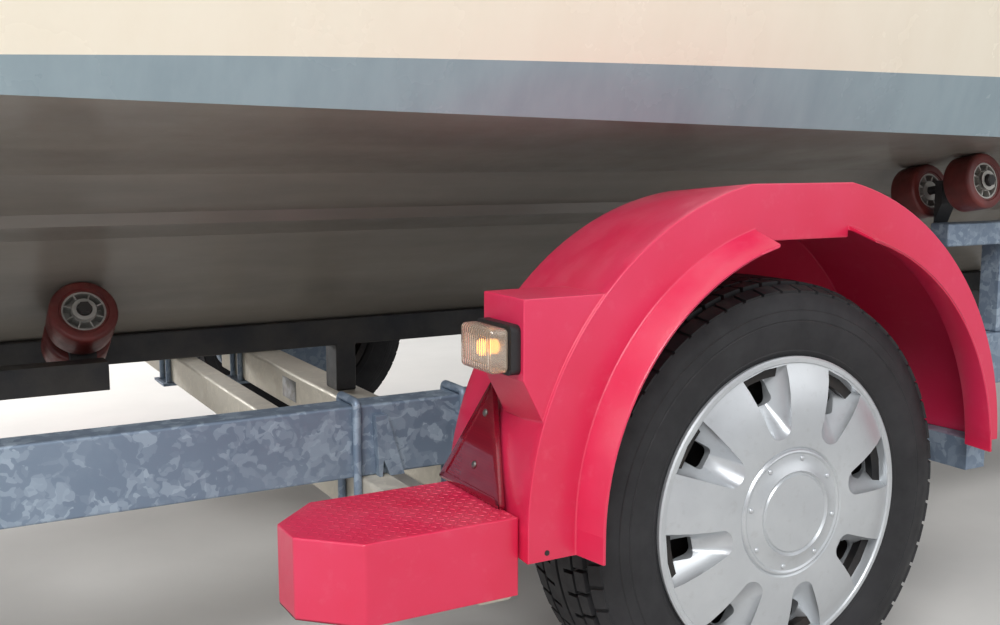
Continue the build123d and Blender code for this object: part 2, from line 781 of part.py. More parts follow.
open_foot_z = guard_foot_z - 10
with BuildPart() as mudguard_left:
    loft([arch(*edge) for edge in guard_edges], ruled=True)
    # Block on the front of the guard that carries the marker lamp
    lamp_block = [
        (ahead(290), lamp_z + lamp_height / 2 + 29),
        (ahead(bracket_front_ahead), lamp_z + lamp_height / 2 + 29),
        (ahead(bracket_front_ahead), lamp_z - lamp_height / 2 - 6),
        (ahead(bracket_front_ahead - 28), lamp_z - lamp_height / 2 - 60),
        (ahead(290), lamp_z - lamp_height / 2 - 60),
    ]
    lamp_block_y = lamp_y + lamp_width / 2 + 6
    extrude(outline(side_plane(lamp_block_y), lamp_block), amount=lamp_width + 12)
    hollow = []
    for (y, reach, top_z, flat), inset in zip(guard_edges, (guard_wall, -guard_wall)):
        hollow.append(arch(y + inset, reach - guard_wall, top_z - guard_wall, flat, open_foot_z))
    loft(hollow, ruled=True, mode=Mode.SUBTRACT)
    extrude(
        arch(guard_inner_y + guard_wall + 1, *inner_opening, open_foot_z),
        amount=guard_wall + 2,
        mode=Mode.SUBTRACT,
    )
    # Lip that flares out round the opening, left out over the flat crown
    loft([arch(*edge) for edge in lip_edges], ruled=True)
    with Locations((axle_x, guard_outer_y + 40, guard_edges[1][2])):
        Box(2 * crown_half, 80, 240, mode=Mode.SUBTRACT)
    loft(
        [
            arch(y + sign, reach - guard_wall, top_z - guard_wall, flat, open_foot_z)
            for sign, (y, reach, top_z, flat) in zip((-guard_wall, 1), lip_edges)
        ],
        ruled=True,
        mode=Mode.SUBTRACT,
    )
    with Locations((axle_x, guard_outer_y - guard_wall / 2, crown_edge_z + 12)):
        Box(2 * crown_half, guard_wall, 24)
    # The rear leg ends on its stay
    with Locations((ahead(-guard_edges[1][1]), wheel_y, rail_bottom_z)):
        Box(200, 400, 2 * (stay_height + seat_gap), mode=Mode.SUBTRACT)
keep(mudguard_left, "mudguard_left")
with BuildPart() as mudguard_right:
    mirror(mudguard_left.part, about=Plane.XZ)
keep(mudguard_right, "mudguard_right")

# Step boxes ahead of the mudguards, on the ends of a cross tube
step_rear = ahead(guard_edges[1][1]) + seat_gap
step_front = step_rear + step_length
step_plan = [
    (step_rear, step_inner_y),
    (step_front - step_chamfer, step_inner_y),
    (step_front, step_inner_y + step_chamfer),
    (step_front, step_outer_y - step_chamfer),
    (step_front - step_chamfer, step_outer_y),
    (step_rear, step_outer_y),
]
step_tube_middle = ahead(cross_rows[2][0] + cross_length / 2)
with BuildPart() as steps:
    extrude(outline(Plane.XY.offset(step_bottom_z), step_plan), amount=step_top_z - step_bottom_z)
    hollow = offset(
        outline(Plane.XY.offset(step_bottom_z - 5), step_plan), amount=-step_wall, mode=Mode.PRIVATE
    )
    extrude(hollow, amount=step_top_z - step_wall - step_bottom_z + 5, mode=Mode.SUBTRACT)
    # Way for the tube through the walls, and the legs that stand on it
    tube_way = 2 * (rail_bottom_z + seat_gap - step_bottom_z)
    with Locations((step_tube_middle, step_outer_y - 40 + seat_gap, step_bottom_z)):
        Box(cross_length + 2, 400, tube_way, align=(Align.CENTER, Align.MAX, Align.CENTER), mode=Mode.SUBTRACT)
    leg_rear = step_rear + step_wall - 1
    leg_front = step_tube_middle + cross_length / 2
    for y in (step_inner_y + 40, step_outer_y - 60):
        height = step_top_z - step_wall + 1 - rail_bottom_z - seat_gap
        with Locations(((leg_rear + leg_front) / 2, y, rail_bottom_z + seat_gap + height / 2)):
            Box(leg_front - leg_rear, 6, height)
    mirror(about=Plane.XZ)
keep(steps, "steps")

# Front marker lamps: black bases and clear lenses
lamp_face_x = ahead(bracket_front_ahead) + seat_gap
with BuildPart() as marker_bases:
    with Locations((lamp_face_x + lamp_base_depth / 2, lamp_y, lamp_z)):
        Box(lamp_base_depth, lamp_width, lamp_height)
    fillet(marker_bases.edges().filter_by(Axis.X), 8)
    mirror(about=Plane.XZ)
keep(marker_bases, "marker_bases")
with BuildPart() as marker_lenses:
    lens_x = lamp_face_x + lamp_base_depth
    with Locations((lens_x + lamp_lens_depth / 2, lamp_y, lamp_z)):
        Box(lamp_lens_depth, lamp_width - 6, lamp_height - 6)
    fillet(marker_lenses.edges().filter_by(Axis.X), 7)
    fillet(marker_lenses.faces().sort_by(Axis.X)[-1].edges(), 7)
    mirror(about=Plane.XZ)
keep(marker_lenses, "marker_lenses")

# Rear light board on two bars along the tops of the rails, and its lamps
board_half = 760.0
board_bottom_z = 326.0
board_height = 120.0
board_thickness = 30.0
rear_lamp_depth = 28.0
rear_lamp_width = 230.0
rear_lamp_height = 100.0
light_bar_side = 36.0
light_bar_front_ahead = -1440.0
board_rear_x = ahead(rear_ahead) + rear_lamp_depth
board_z = board_bottom_z + board_height / 2
with BuildPart() as light_board:
    with Locations((board_rear_x + board_thickness / 2, 0, board_z)):
        Box(board_thickness, 2 * board_half, board_height)
    bar_rear_x = board_rear_x + board_thickness
    length = ahead(light_bar_front_ahead) - bar_rear_x
    with Locations((bar_rear_x + length / 2, rail_y, rail_top_z + seat_gap + light_bar_side / 2)):
        Box(length, light_bar_side, light_bar_side)
    mirror(about=Plane.XZ)
keep(light_board, "light_board")
with BuildPart() as rear_lamps:
    with Locations((board_rear_x - rear_lamp_depth / 2, board_half - rear_lamp_width / 2 - 8, board_z)):
        Box(rear_lamp_depth, rear_lamp_width, rear_lamp_height)
    fillet(rear_lamps.faces().sort_by(Axis.X)[0].edges(), 10)
    mirror(about=Plane.XZ)
keep(rear_lamps, "rear_lamps")

# Triangular reflectors, leaning on the front of each guard and flat on the light board
reflector_height = reflector_side * sin(radians(60))
reflector_lean = 14.0
reflector_foot_ahead = 425.0
reflector_y = wheel_y + 1.0
with BuildPart() as reflectors:
    front_face = Plane(
        origin=(ahead(reflector_foot_ahead), reflector_y, step_top_z + seat_gap),
        x_dir=(0, 1, 0),
        z_dir=(cos(radians(reflector_lean)), 0, sin(radians(reflector_lean))),
    )
    rear_face = Plane(
        origin=(board_rear_x - seat_gap, 400, board_z - reflector_height * 0.36),
        x_dir=(0, -1, 0),
        z_dir=(-1, 0, 0),
    )
    for face, scale in ((front_face, 1.0), (rear_face, 0.72)):
        half = reflector_side * scale / 2
        corners = [(-half, 0), (half, 0), (0, reflector_height * scale)]
        with BuildSketch(face) as triangle:
            with BuildLine():
                Polyline(*corners, close=True)
            make_face()
            fillet(triangle.vertices(), 6)
        extrude(amount=reflector_thickness)
    mirror(about=Plane.XZ)
keep(reflectors, "reflectors")


# Hull rollers, in pairs: place ahead, distance of the outer roller from the centreline, pitch along the axle
roller_rows = [
    (730.0, 174.0, 86.0),
    (-800.0, 628.0, 125.0),
    (-1560.0, 628.0, 125.0),
    (-1667.0, 174.0, 86.0),
]
roller_edge = 10.0


def roller_axes(distance, y):
    # Centre and outward direction of a roller that bears on the bottom panel here.
    rise = bottom_z(distance, y + 10) - bottom_z(distance, y)
    slope = atan2(rise, 10)
    reach = roller_radius + seat_gap
    centre = (ahead(distance), y + reach * sin(slope), bottom_z(distance, y) - reach * cos(slope))
    return centre, (0, cos(slope), sin(slope))


with BuildPart() as hull_rollers:
    for distance, y, pitch in roller_rows:
        centre, outward = roller_axes(distance, y)
        axle = Plane(origin=centre, x_dir=(1, 0, 0), z_dir=outward)
        for i in range(2):
            with BuildSketch(axle.offset(-i * pitch - roller_width / 2)):
                Circle(roller_radius)
                Circle(roller_axle_radius + seat_gap, mode=Mode.SUBTRACT)
            extrude(amount=roller_width)
    rims = hull_rollers.edges().filter_by(GeomType.CIRCLE)
    fillet(rims.filter_by(lambda edge: edge.radius > roller_radius - 1), roller_edge)
    mirror(about=Plane.XZ)
keep(hull_rollers, "hull_rollers")

# Square arms under the outer rollers and posts under all of them
arm_y_inner = 252.0
outer_arm_y = 590.0
outer_arm_bottom_z = 580.0
inner_arm_bottom_z = 393.0
arm_half = roller_arm_side / 2
with BuildPart() as roller_arms:
    # Outer arms on posts that stand on the rails, and inner posts on the rear cross tube
    rear, front = -1620.0, -770.0
    with Locations((ahead((rear + front) / 2), outer_arm_y, outer_arm_bottom_z + arm_half)):
        Box(front - rear, roller_arm_side, roller_arm_side)
    for distance in (-1380.0, -960.0):
        height = outer_arm_bottom_z - rail_top_z - seat_gap
        with Locations((ahead(distance), rail_y, rail_top_z + seat_gap + height / 2)):
            Box(roller_arm_side, roller_arm_side, height)
    height = 130.0
    with Locations((ahead(roller_rows[3][0]), arm_y_inner, rail_bottom_z + seat_gap + height / 2)):
        Box(roller_arm_side, roller_arm_side, height)
    mirror(about=Plane.XZ)
keep(roller_arms, "roller_arms")

# Inner arms ahead, on posts that stand on the front cross tube
with BuildPart() as front_roller_arms:
    rear, front = 705.0, cross_rows[3][0] + cross_length
    with Locations((ahead((rear + front) / 2), arm_y_inner, inner_arm_bottom_z + arm_half)):
        Box(front - rear, roller_arm_side, roller_arm_side)
    height = inner_arm_bottom_z - rail_bottom_z - seat_gap
    with Locations(
        (ahead(front - arm_half), arm_y_inner, rail_bottom_z + seat_gap + height / 2)
    ):
        Box(roller_arm_side, roller_arm_side, height)
    mirror(about=Plane.XZ)
keep(front_roller_arms, "front_roller_arms")

# Brackets: cheek plates that stand on the arms, with the pins that carry the rollers
washer_radius = 15.0
nut_radius = 11.0
nut_height = 8.0
with BuildPart() as roller_brackets:
    for distance, y, pitch in roller_rows:
        centre, outward = roller_axes(distance, y)
        axle = Plane(origin=centre, x_dir=(1, 0, 0), z_dir=outward)
        pin_start = -pitch - roller_width / 2 - nut_height
        with BuildSketch(axle.offset(pin_start)):
            Circle(roller_axle_radius)
        extrude(amount=roller_width / 2 + nut_height + 4 - pin_start)
        with BuildSketch(axle.offset(roller_width / 2 + seat_gap)):
            Circle(washer_radius)
        extrude(amount=3)
        with BuildSketch(axle.offset(roller_width / 2 + seat_gap + 3)):
            RegularPolygon(nut_radius, 6)
        extrude(amount=nut_height)
        with BuildSketch(axle.offset(-pitch - roller_width / 2 - seat_gap)):
            Circle(washer_radius)
        extrude(amount=-nut_height)
        mid = axle.offset(-pitch / 2).origin
        if y > arm_y_inner:
            foot_z = outer_arm_bottom_z + 4
            arm_face = outer_arm_y - arm_half - seat_gap
            post = [
                (arm_face, foot_z),
                (arm_face, foot_z + roller_arm_side - 4),
                (mid.Y + 8, mid.Z - 30),
                (mid.Y + 8, mid.Z + 14),
                (mid.Y - 8, mid.Z + 14),
                (mid.Y - 8, foot_z),
            ]
        else:
            # Slanting post between the rollers, with its foot on the inner side of the arm
            arm_face = arm_y_inner - arm_half - seat_gap
            out_y, out_z = outward[1], outward[2]
            post = []
            for along, down in ((8, -14), (-8, -14), (-8, roller_radius + 34), (8, roller_radius + 10)):
                post.append((mid.Y + along * out_y + down * out_z, mid.Z + along * out_z - down * out_y))
            post[3:3] = [(arm_face, post[2][1]), (arm_face, post[3][1])]
        extrude(outline(Plane.YZ.offset(ahead(distance) - 20), post), amount=40)
    mirror(about=Plane.XZ)
keep(roller_brackets, "roller_brackets")


# Wheels. Each turns on its spindle.
wheel_section = Plane(origin=(axle_x, wheel_y, axle_z), x_dir=(0, 1, 0), z_dir=(1, 0, 0))
left_spin = Axis((axle_x, wheel_y, axle_z), (0, 1, 0))
bead = 71.7
flange_radius = tyre_seat_radius + rim_flange

with BuildPart() as tyre_left:
    half_width = tyre_width / 2
    with BuildSketch(wheel_section) as tyre_profile:
        with BuildLine():
            Polyline((0, tyre_seat_radius + seat_gap), (bead, tyre_seat_radius + seat_gap))
            Polyline(
                (bead, tyre_seat_radius + seat_gap),
                (bead, flange_radius + 1),
                (bead + 6, flange_radius + 1),
            )
            ThreePointArc(
                (bead + 6, flange_radius + 1),
                (half_width, tyre_radius - 58),
                (half_width - 9, tyre_radius - 14),
            )
            ThreePointArc(
                (half_width - 9, tyre_radius - 14),
                (half_width - 14, tyre_radius - 6.5),
                (half_width - 26, tyre_radius - 3),
            )
            Polyline(
                (half_width - 26, tyre_radius - 3), (30, tyre_radius), (0, tyre_radius)
            )
            Line((0, tyre_radius), (0, tyre_seat_radius + seat_gap))
        make_face()
        mirror(about=Plane.YZ)
    revolve(axis=left_spin)
keep(tyre_left, "tyre_left")

disc_offset = 24.0
with BuildPart() as rim_left:
    seat_inner = tyre_seat_radius - rim_wall
    rim_half = bead + rim_wall
    rim_points = [
        (-rim_half, flange_radius),
        (-bead - 0.3, flange_radius),
        (-bead - 0.3, tyre_seat_radius),
        (bead + 0.3, tyre_seat_radius),
        (bead + 0.3, flange_radius),
        (rim_half, flange_radius),
        (rim_half, seat_inner),
        (disc_offset + 20, seat_inner),
        (disc_offset + 4, seat_inner - 26),
        (disc_offset + 4, 32),
        (disc_offset, 32),
        (disc_offset, seat_inner - 24),
        (disc_offset + 14, seat_inner),
        (-rim_half, seat_inner),
    ]
    revolve(outline(wheel_section, rim_points), axis=left_spin)
keep(rim_left, "rim_left")

# Wheel trim: a shallow dished cover with a raised middle and U-shaped vents towards the rim
cap_back = rim_half + seat_gap
first_vent_angle = 12.0
vent_inner_radius = 112.0
vent_outer_radius = 183.0
with BuildPart() as hubcap_left:
    cap_points = [
        (cap_back, hubcap_radius - 15),
        (cap_back, hubcap_radius - 12.5),
        (cap_back + 8.4, hubcap_radius),
        (cap_back + 11.5, hubcap_radius - 0.5),
        (cap_back + 13.5, hubcap_radius - 7),
        (cap_back + 11, 120),
        (cap_back + 8, 82),
        (cap_back + 13.5, 66),
        (cap_back + 14.5, 0),
        (cap_back + 14.5 - hubcap_wall, 0),
        (cap_back + 13.5 - hubcap_wall, 62),
        (cap_back + 8 - hubcap_wall, 78),
        (cap_back + 11 - hubcap_wall, 122),
        (cap_back + 13 - hubcap_wall, hubcap_radius - 17),
        (cap_back + 4, hubcap_radius - 15),
    ]
    revolve(outline(wheel_section, cap_points), axis=left_spin)
    vent_plane = Plane(
        origin=(axle_x, wheel_y + cap_back - 1, axle_z), x_dir=(1, 0, 0), z_dir=(0, 1, 0)
    )
    with BuildSketch(vent_plane):
        with PolarLocations(0, hubcap_vents, start_angle=first_vent_angle):
            with Locations((vent_inner_radius + 16, 0)):
                Circle(16)
            with BuildLine():
                Polyline(
                    (vent_inner_radius + 16, -16),
                    (vent_outer_radius, -25),
                    (vent_outer_radius, 25),
                    (vent_inner_radius + 16, 16),
                    close=True,
                )
            make_face()
    extrude(amount=30, mode=Mode.SUBTRACT)
keep(hubcap_left, "hubcap_left")

# Brake drum and hub in one, behind the rim's disc
with BuildPart() as drum_left:
    drum_back = plate_y + 5 + 5 - wheel_y
    drum_points = [
        (drum_back, spindle_radius + seat_gap),
        (drum_back, drum_radius),
        (drum_back + 66, drum_radius),
        (drum_back + 74, drum_radius - 8),
        (drum_back + 80, 70),
        (disc_offset - seat_gap, 66),
        (disc_offset - seat_gap, 28),
        (disc_offset + 30, 28),
        (disc_offset + 30, spindle_radius + seat_gap),
    ]
    revolve(outline(wheel_section, drum_points), axis=left_spin)
keep(drum_left, "drum_left")

for left, name in (
    (tyre_left, "tyre_right"),
    (rim_left, "rim_right"),
    (hubcap_left, "hubcap_right"),
    (drum_left, "drum_right"),
):
    with BuildPart() as other_side:
        mirror(left.part, about=Plane.XZ)
    keep(other_side, name)


# Winch post on the drawbar, with the bow stop and the winch
post_ahead = 3140.0
post_side = 60.0
post_top_z = 1080.0
stop_z = 985.0
winch_z = 862.0
post_rear_x = ahead(post_ahead) - post_side / 2
with BuildPart() as winch_post:
    height = post_top_z - drawbar_top_z
    with Locations((ahead(post_ahead), 0, drawbar_top_z + height / 2)):
        Box(post_side, post_side, height)
    with Locations((ahead(post_ahead), 0, drawbar_top_z + 5)):
        Box(120, drawbar_side, 10)
keep(winch_post, "winch_post")

with BuildPart() as bow_stop:
    with Locations((post_rear_x - 55, 0, stop_z)):
        Box(110, 44, 44)
    stop_x = post_rear_x - 110
    with Locations((stop_x - 46, 0, stop_z)):
        Box(92, 130, 90)
    add(boat_form.part, mode=Mode.SUBTRACT)
keep(bow_stop, "bow_stop")

winch_x = post_rear_x - 70
with BuildPart() as winch:
    for side in (1, -1):
        with Locations((winch_x + 30, side * 42, winch_z)):
            Box(80, 5, 96)
    with Locations((post_rear_x - 3, 0, winch_z)):
        Box(6, 89, 96)
    with BuildSketch(Plane(origin=(winch_x, 0, winch_z), x_dir=(1, 0, 0), z_dir=(0, 1, 0))):
        Circle(26)
    extrude(amount=39.5, both=True)
    with BuildSketch(Plane(origin=(winch_x, 44.5, winch_z), x_dir=(1, 0, 0), z_dir=(0, 1, 0))):
        Circle(8)
    extrude(amount=24)
    with BuildSketch(Plane(origin=(winch_x, 60, winch_z), x_dir=(1, 0, 0), z_dir=(0, 1, 0))):
        with Locations((0, 80)):
            Rectangle(22, 200)
    extrude(amount=8)
    with BuildSketch(Plane(origin=(winch_x, 68, winch_z - 168), x_dir=(1, 0, 0), z_dir=(0, 1, 0))):
        Circle(13)
    extrude(amount=90)
keep(winch, "winch")

with BuildPart() as winch_strap:
    hook = (ahead(eye_ahead) + eye_radius + 8, eye_z + 2)
    drum = (winch_x - 24, winch_z - 12)
    run = hypot(drum[0] - hook[0], drum[1] - hook[1])
    across = ((drum[1] - hook[1]) / run * 1.5, -(drum[0] - hook[0]) / run * 1.5)
    strap_face = [
        (hook[0] - across[0], hook[1] - across[1]),
        (drum[0] - across[0], drum[1] - across[1]),
        (drum[0] + across[0], drum[1] + across[1]),
        (hook[0] + across[0], hook[1] + across[1]),
    ]
    extrude(outline(side_plane(0), strap_face), amount=25, both=True)
    with Locations((hook[0] - 4, 0, hook[1])):
        Box(18, 10, 10)
    add(winch.part, mode=Mode.SUBTRACT)
    add(deck_fittings.part, mode=Mode.SUBTRACT)
keep(winch_strap, "winch_strap")

# Overrun coupling on the front of the drawbar
shaft_line_z = 424.0
ball_ahead = 3790.0
ball_radius = 25.3
housing_rear_ahead = 3210.0
housing_front_ahead = 3440.0
with BuildPart() as overrun_housing:
    length = housing_front_ahead - housing_rear_ahead
    middle = ahead((housing_front_ahead + housing_rear_ahead) / 2)
    with Locations((middle, 0, (drawbar_top_z + shaft_line_z + 44) / 2)):
        Box(length, 92, shaft_line_z + 44 - drawbar_top_z)
    fillet(overrun_housing.edges().filter_by(Axis.X).group_by(Axis.Z)[-1], 24)
    with BuildSketch(Plane.YZ.offset(ahead(housing_front_ahead))):
        with Locations((0, shaft_line_z)):
            Circle(25)
    extrude(amount=170)
keep(overrun_housing, "overrun_housing")

with BuildPart() as shaft_gaiter:
    fold = 12.0
    folds = 9
    start = ahead(housing_front_ahead) + seat_gap
    ridge = [(start, 26.0), (start, 34.0)]
    for i in range(folds):
        ridge += [(start + (i + 0.5) * fold, 44.0), (start + (i + 1) * fold, 34.0)]
    ridge += [(start + folds * fold, 26.0)]
    gaiter_points = [(x, shaft_line_z + r) for x, r in ridge]
    revolve(
        outline(side_plane(0), gaiter_points),
        axis=Axis((0, 0, shaft_line_z), (1, 0, 0)),
    )
keep(shaft_gaiter, "shaft_gaiter")

with BuildPart() as coupling_head:
    head_rear = ahead(housing_front_ahead + 130)
    with BuildSketch(Plane.YZ.offset(head_rear)):
        with Locations((0, shaft_line_z)):
            Circle(40)
    with BuildSketch(Plane.YZ.offset(ahead(ball_ahead - 60))):
        with Locations((0, shaft_line_z)):
            RectangleRounded(92, 70, 20)
    loft()
    with BuildSketch(Plane.XY.offset(shaft_line_z - 45)):
        with Locations((ahead(ball_ahead - 30), 0)):
            Rectangle(60, 92)
        with Locations((ahead(nose_ahead) - 46, 0)):
            Circle(46)
    extrude(amount=80)
    with BuildSketch(Plane.YZ.offset(head_rear - 5)):
        with Locations((0, shaft_line_z)):
            Circle(25.3)
    extrude(amount=50, mode=Mode.SUBTRACT)
    with Locations((ahead(ball_ahead), 0, shaft_line_z - 25)):
        Sphere(ball_radius, mode=Mode.SUBTRACT)
        Cylinder(ball_radius, 40, align=(Align.CENTER, Align.CENTER, Align.MAX), mode=Mode.SUBTRACT)
    # Release handle over the head
    handle = [
        (ahead(ball_ahead + 20), shaft_line_z + 30),
        (ahead(ball_ahead + 10), shaft_line_z + 70),
        (ahead(ball_ahead - 200), shaft_line_z + 92),
        (ahead(ball_ahead - 205), shaft_line_z + 76),
        (ahead(ball_ahead - 20), shaft_line_z + 52),
        (ahead(ball_ahead - 30), shaft_line_z + 30),
    ]
    extrude(outline(side_plane(0), handle), amount=16, both=True)
keep(coupling_head, "coupling_head")

with BuildPart() as handbrake:
    lever = [
        (ahead(3350), 430.0),
        (ahead(3385), 430.0),
        (ahead(3290), 800.0),
        (ahead(3262), 793.0),
    ]
    extrude(outline(side_plane(-46 - seat_gap), lever), amount=10)
    with BuildSketch(Plane(origin=(ahead(3367), -56.3, 440), x_dir=(1, 0, 0), z_dir=(0, -1, 0))):
        Circle(24)
    extrude(amount=12)
keep(handbrake, "handbrake")

# Brake rod under the frame, in hangers below the drawbar and the cross tube
rod_radius = 5.0
rod_z = rail_bottom_z - cross_height - rod_radius - 0.5
hanger_height = 12.0
with BuildPart() as brake_rod:
    rod_rear = ahead(axle_tube_ahead) + axle_tube_side / 2 + seat_gap
    add(tube_between((rod_rear, 0, rod_z), (ahead(3300), 0, rod_z), rod_radius))
    with Locations((ahead(3290), 0, (rod_z + rail_bottom_z) / 2 - 2)):
        Box(10, 14, rail_bottom_z - rod_z + 4 - seat_gap)
    with Locations((ahead(2200), 0, (rod_z + rail_bottom_z) / 2 - 2)):
        Box(6, 20, rail_bottom_z - rod_z + 4 - seat_gap)
    hanger_z = rail_bottom_z - cross_height - seat_gap - hanger_height / 2
    with Locations((ahead(cross_rows[3][0] + cross_length / 2), 0, hanger_z)):
        Box(6, 20, hanger_height)
keep(brake_rod, "brake_rod")


# Jockey wheel beside the drawbar. Its fork swivels in the outer tube, and the wheel trails the swivel.
jockey_ahead = 2960.0
jockey_y = 112.0
jockey_tube_radius = 30.0
jockey_stem_radius = 24.0
jockey_radius = 100.0
jockey_width = 56.0
jockey_trail = 42.0
jockey_top_z = 800.0
jockey_crown_z = 208.0
jockey_bore_top_z = 330.0
jockey_x = ahead(jockey_ahead)
with BuildPart() as jockey_column:
    # Clamp that holds the column to the drawbar
    with BuildSketch(Plane.XY.offset(rail_bottom_z + 10)):
        with Locations((jockey_x, (drawbar_half + jockey_y) / 2 + seat_gap)):
            Rectangle(60, jockey_y - drawbar_half)
        with Locations((jockey_x, jockey_y)):
            Circle(jockey_tube_radius + 9)
    extrude(amount=drawbar_side - 20)
    split(bisect_by=Plane.XZ.offset(-drawbar_half - seat_gap), keep=Keep.BOTTOM)
    with BuildSketch(Plane.YZ.offset(jockey_x)):
        with Locations((jockey_y + 50, rail_bottom_z + 40)):
            Rectangle(36, 14)
    extrude(amount=8, both=True)
    with BuildSketch(Plane.XY.offset(jockey_crown_z + 40)):
        with Locations((jockey_x, jockey_y)):
            Circle(jockey_tube_radius)
    extrude(amount=jockey_top_z - jockey_crown_z - 40)
    with BuildSketch(Plane.XY.offset(jockey_crown_z + 40)):
        with Locations((jockey_x, jockey_y)):
            Circle(jockey_stem_radius + seat_gap)
    extrude(amount=jockey_bore_top_z - jockey_crown_z - 40, mode=Mode.SUBTRACT)
    with Locations((jockey_x, jockey_y, jockey_top_z + 14)):
        Cylinder(9, 28)
    with Locations((jockey_x + 60, jockey_y, jockey_top_z + 31)):
        Box(150, 22, 6)
    with Locations((jockey_x + 122, jockey_y, jockey_top_z + 74)):
        Cylinder(12, 80)
keep(jockey_column, "jockey_column")

jockey_axle_x = jockey_x - jockey_trail
jockey_cheek = 5.0
jockey_cheek_y = jockey_width / 2 + 6
with BuildPart() as jockey_fork:
    with BuildSketch(Plane.XY.offset(jockey_crown_z)):
        with Locations((jockey_x, jockey_y)):
            Circle(jockey_stem_radius)
    extrude(amount=jockey_bore_top_z - jockey_crown_z - 6)
    with Locations((jockey_x - jockey_trail / 2, jockey_y, jockey_crown_z + 4)):
        Box(jockey_trail + 60, 2 * (jockey_cheek_y + jockey_cheek), 8)
    cheek_face = [
        (jockey_axle_x - 16, jockey_radius - 16),
        (jockey_axle_x + 16, jockey_radius - 16),
        (jockey_x + 30, jockey_crown_z + 2),
        (jockey_x - jockey_trail - 30, jockey_crown_z + 2),
    ]
    for side in (1, -1):
        near = jockey_y + side * (jockey_cheek_y + (jockey_cheek if side > 0 else 0))
        extrude(outline(side_plane(near), cheek_face), amount=jockey_cheek)
    with BuildSketch(
        Plane(origin=(jockey_axle_x, jockey_y, jockey_radius), x_dir=(1, 0, 0), z_dir=(0, 1, 0))
    ):
        Circle(8)
    extrude(amount=jockey_cheek_y + jockey_cheek + 6, both=True)
keep(jockey_fork, "jockey_fork")

jockey_section = Plane(origin=(jockey_axle_x, jockey_y, jockey_radius), x_dir=(0, 1, 0), z_dir=(1, 0, 0))
jockey_spin = Axis((jockey_axle_x, jockey_y, jockey_radius), (0, 1, 0))
jockey_hub_radius = 62.0
with BuildPart() as jockey_tyre:
    half_width = jockey_width / 2
    with BuildSketch(jockey_section):
        with BuildLine():
            Polyline(
                (-half_width + 6, jockey_hub_radius + seat_gap),
                (half_width - 6, jockey_hub_radius + seat_gap),
                (half_width, jockey_hub_radius + 12),
                (half_width, jockey_radius - 14),
            )
            ThreePointArc(
                (half_width, jockey_radius - 14), (0, jockey_radius), (-half_width, jockey_radius - 14)
            )
            Polyline(
                (-half_width, jockey_radius - 14),
                (-half_width, jockey_hub_radius + 12),
                (-half_width + 6, jockey_hub_radius + seat_gap),
            )
        make_face()
    revolve(axis=jockey_spin)
keep(jockey_tyre, "jockey_tyre")

with BuildPart() as jockey_hub:
    hub_points = [
        (-half_width, 8.3),
        (-half_width, 20),
        (-10, 24),
        (-10, 54),
        (-half_width + 4, 56),
        (-half_width + 4, jockey_hub_radius),
        (half_width - 4, jockey_hub_radius),
        (half_width - 4, 56),
        (10, 54),
        (10, 24),
        (half_width, 20),
        (half_width, 8.3),
    ]
    revolve(outline(jockey_section, hub_points), axis=jockey_spin)
keep(jockey_hub, "jockey_hub")


# Outboard engine: clamp on the transom, swivel, leg, cowl and propeller
clamp_inner_y = 75.0
clamp_outer_y = 97.0
tilt_x = ahead(tilt_ahead)
steer_x = ahead(steer_ahead)
tilt_pin_radius = 14.0
with BuildPart() as engine_clamp:
    board_top = transom_clamp_z + seat_gap
    outer = transom_x(board_top) - seat_gap
    inner = transom_x(board_top) + transom_board + seat_gap
    lower = 690.0
    clamp_face = [
        (transom_x(lower) - seat_gap, lower),
        (outer, board_top),
        (inner, board_top),
        (transom_x(915) + transom_board + seat_gap, 915.0),
        (transom_x(915) + transom_board + 16, 915.0),
        (inner + 16, board_top + 20),
        (tilt_x + 20, tilt_z + 22),
        (tilt_x - 22, tilt_z + 22),
        (tilt_x - 30, tilt_z - 40),
        (transom_x(lower) - 30, lower),
    ]
    for side in (1, -1):
        near = side * (clamp_outer_y if side > 0 else clamp_inner_y)
        extrude(outline(side_plane(near), clamp_face), amount=clamp_outer_y - clamp_inner_y)
    with BuildSketch(Plane(origin=(tilt_x, 0, tilt_z), x_dir=(1, 0, 0), z_dir=(0, 1, 0))):
        Circle(tilt_pin_radius)
    extrude(amount=clamp_outer_y + 10, both=True)
    # Clamping screws against the inner face of the board
    for side in (1, -1):
        near = side * (clamp_inner_y + clamp_outer_y) / 2
        with BuildSketch(Plane.YZ.offset(transom_x(938) + transom_board + 10)):
            with Locations((near, 938)):
                Circle(9)
        extrude(amount=46)
keep(engine_clamp, "engine_clamp")

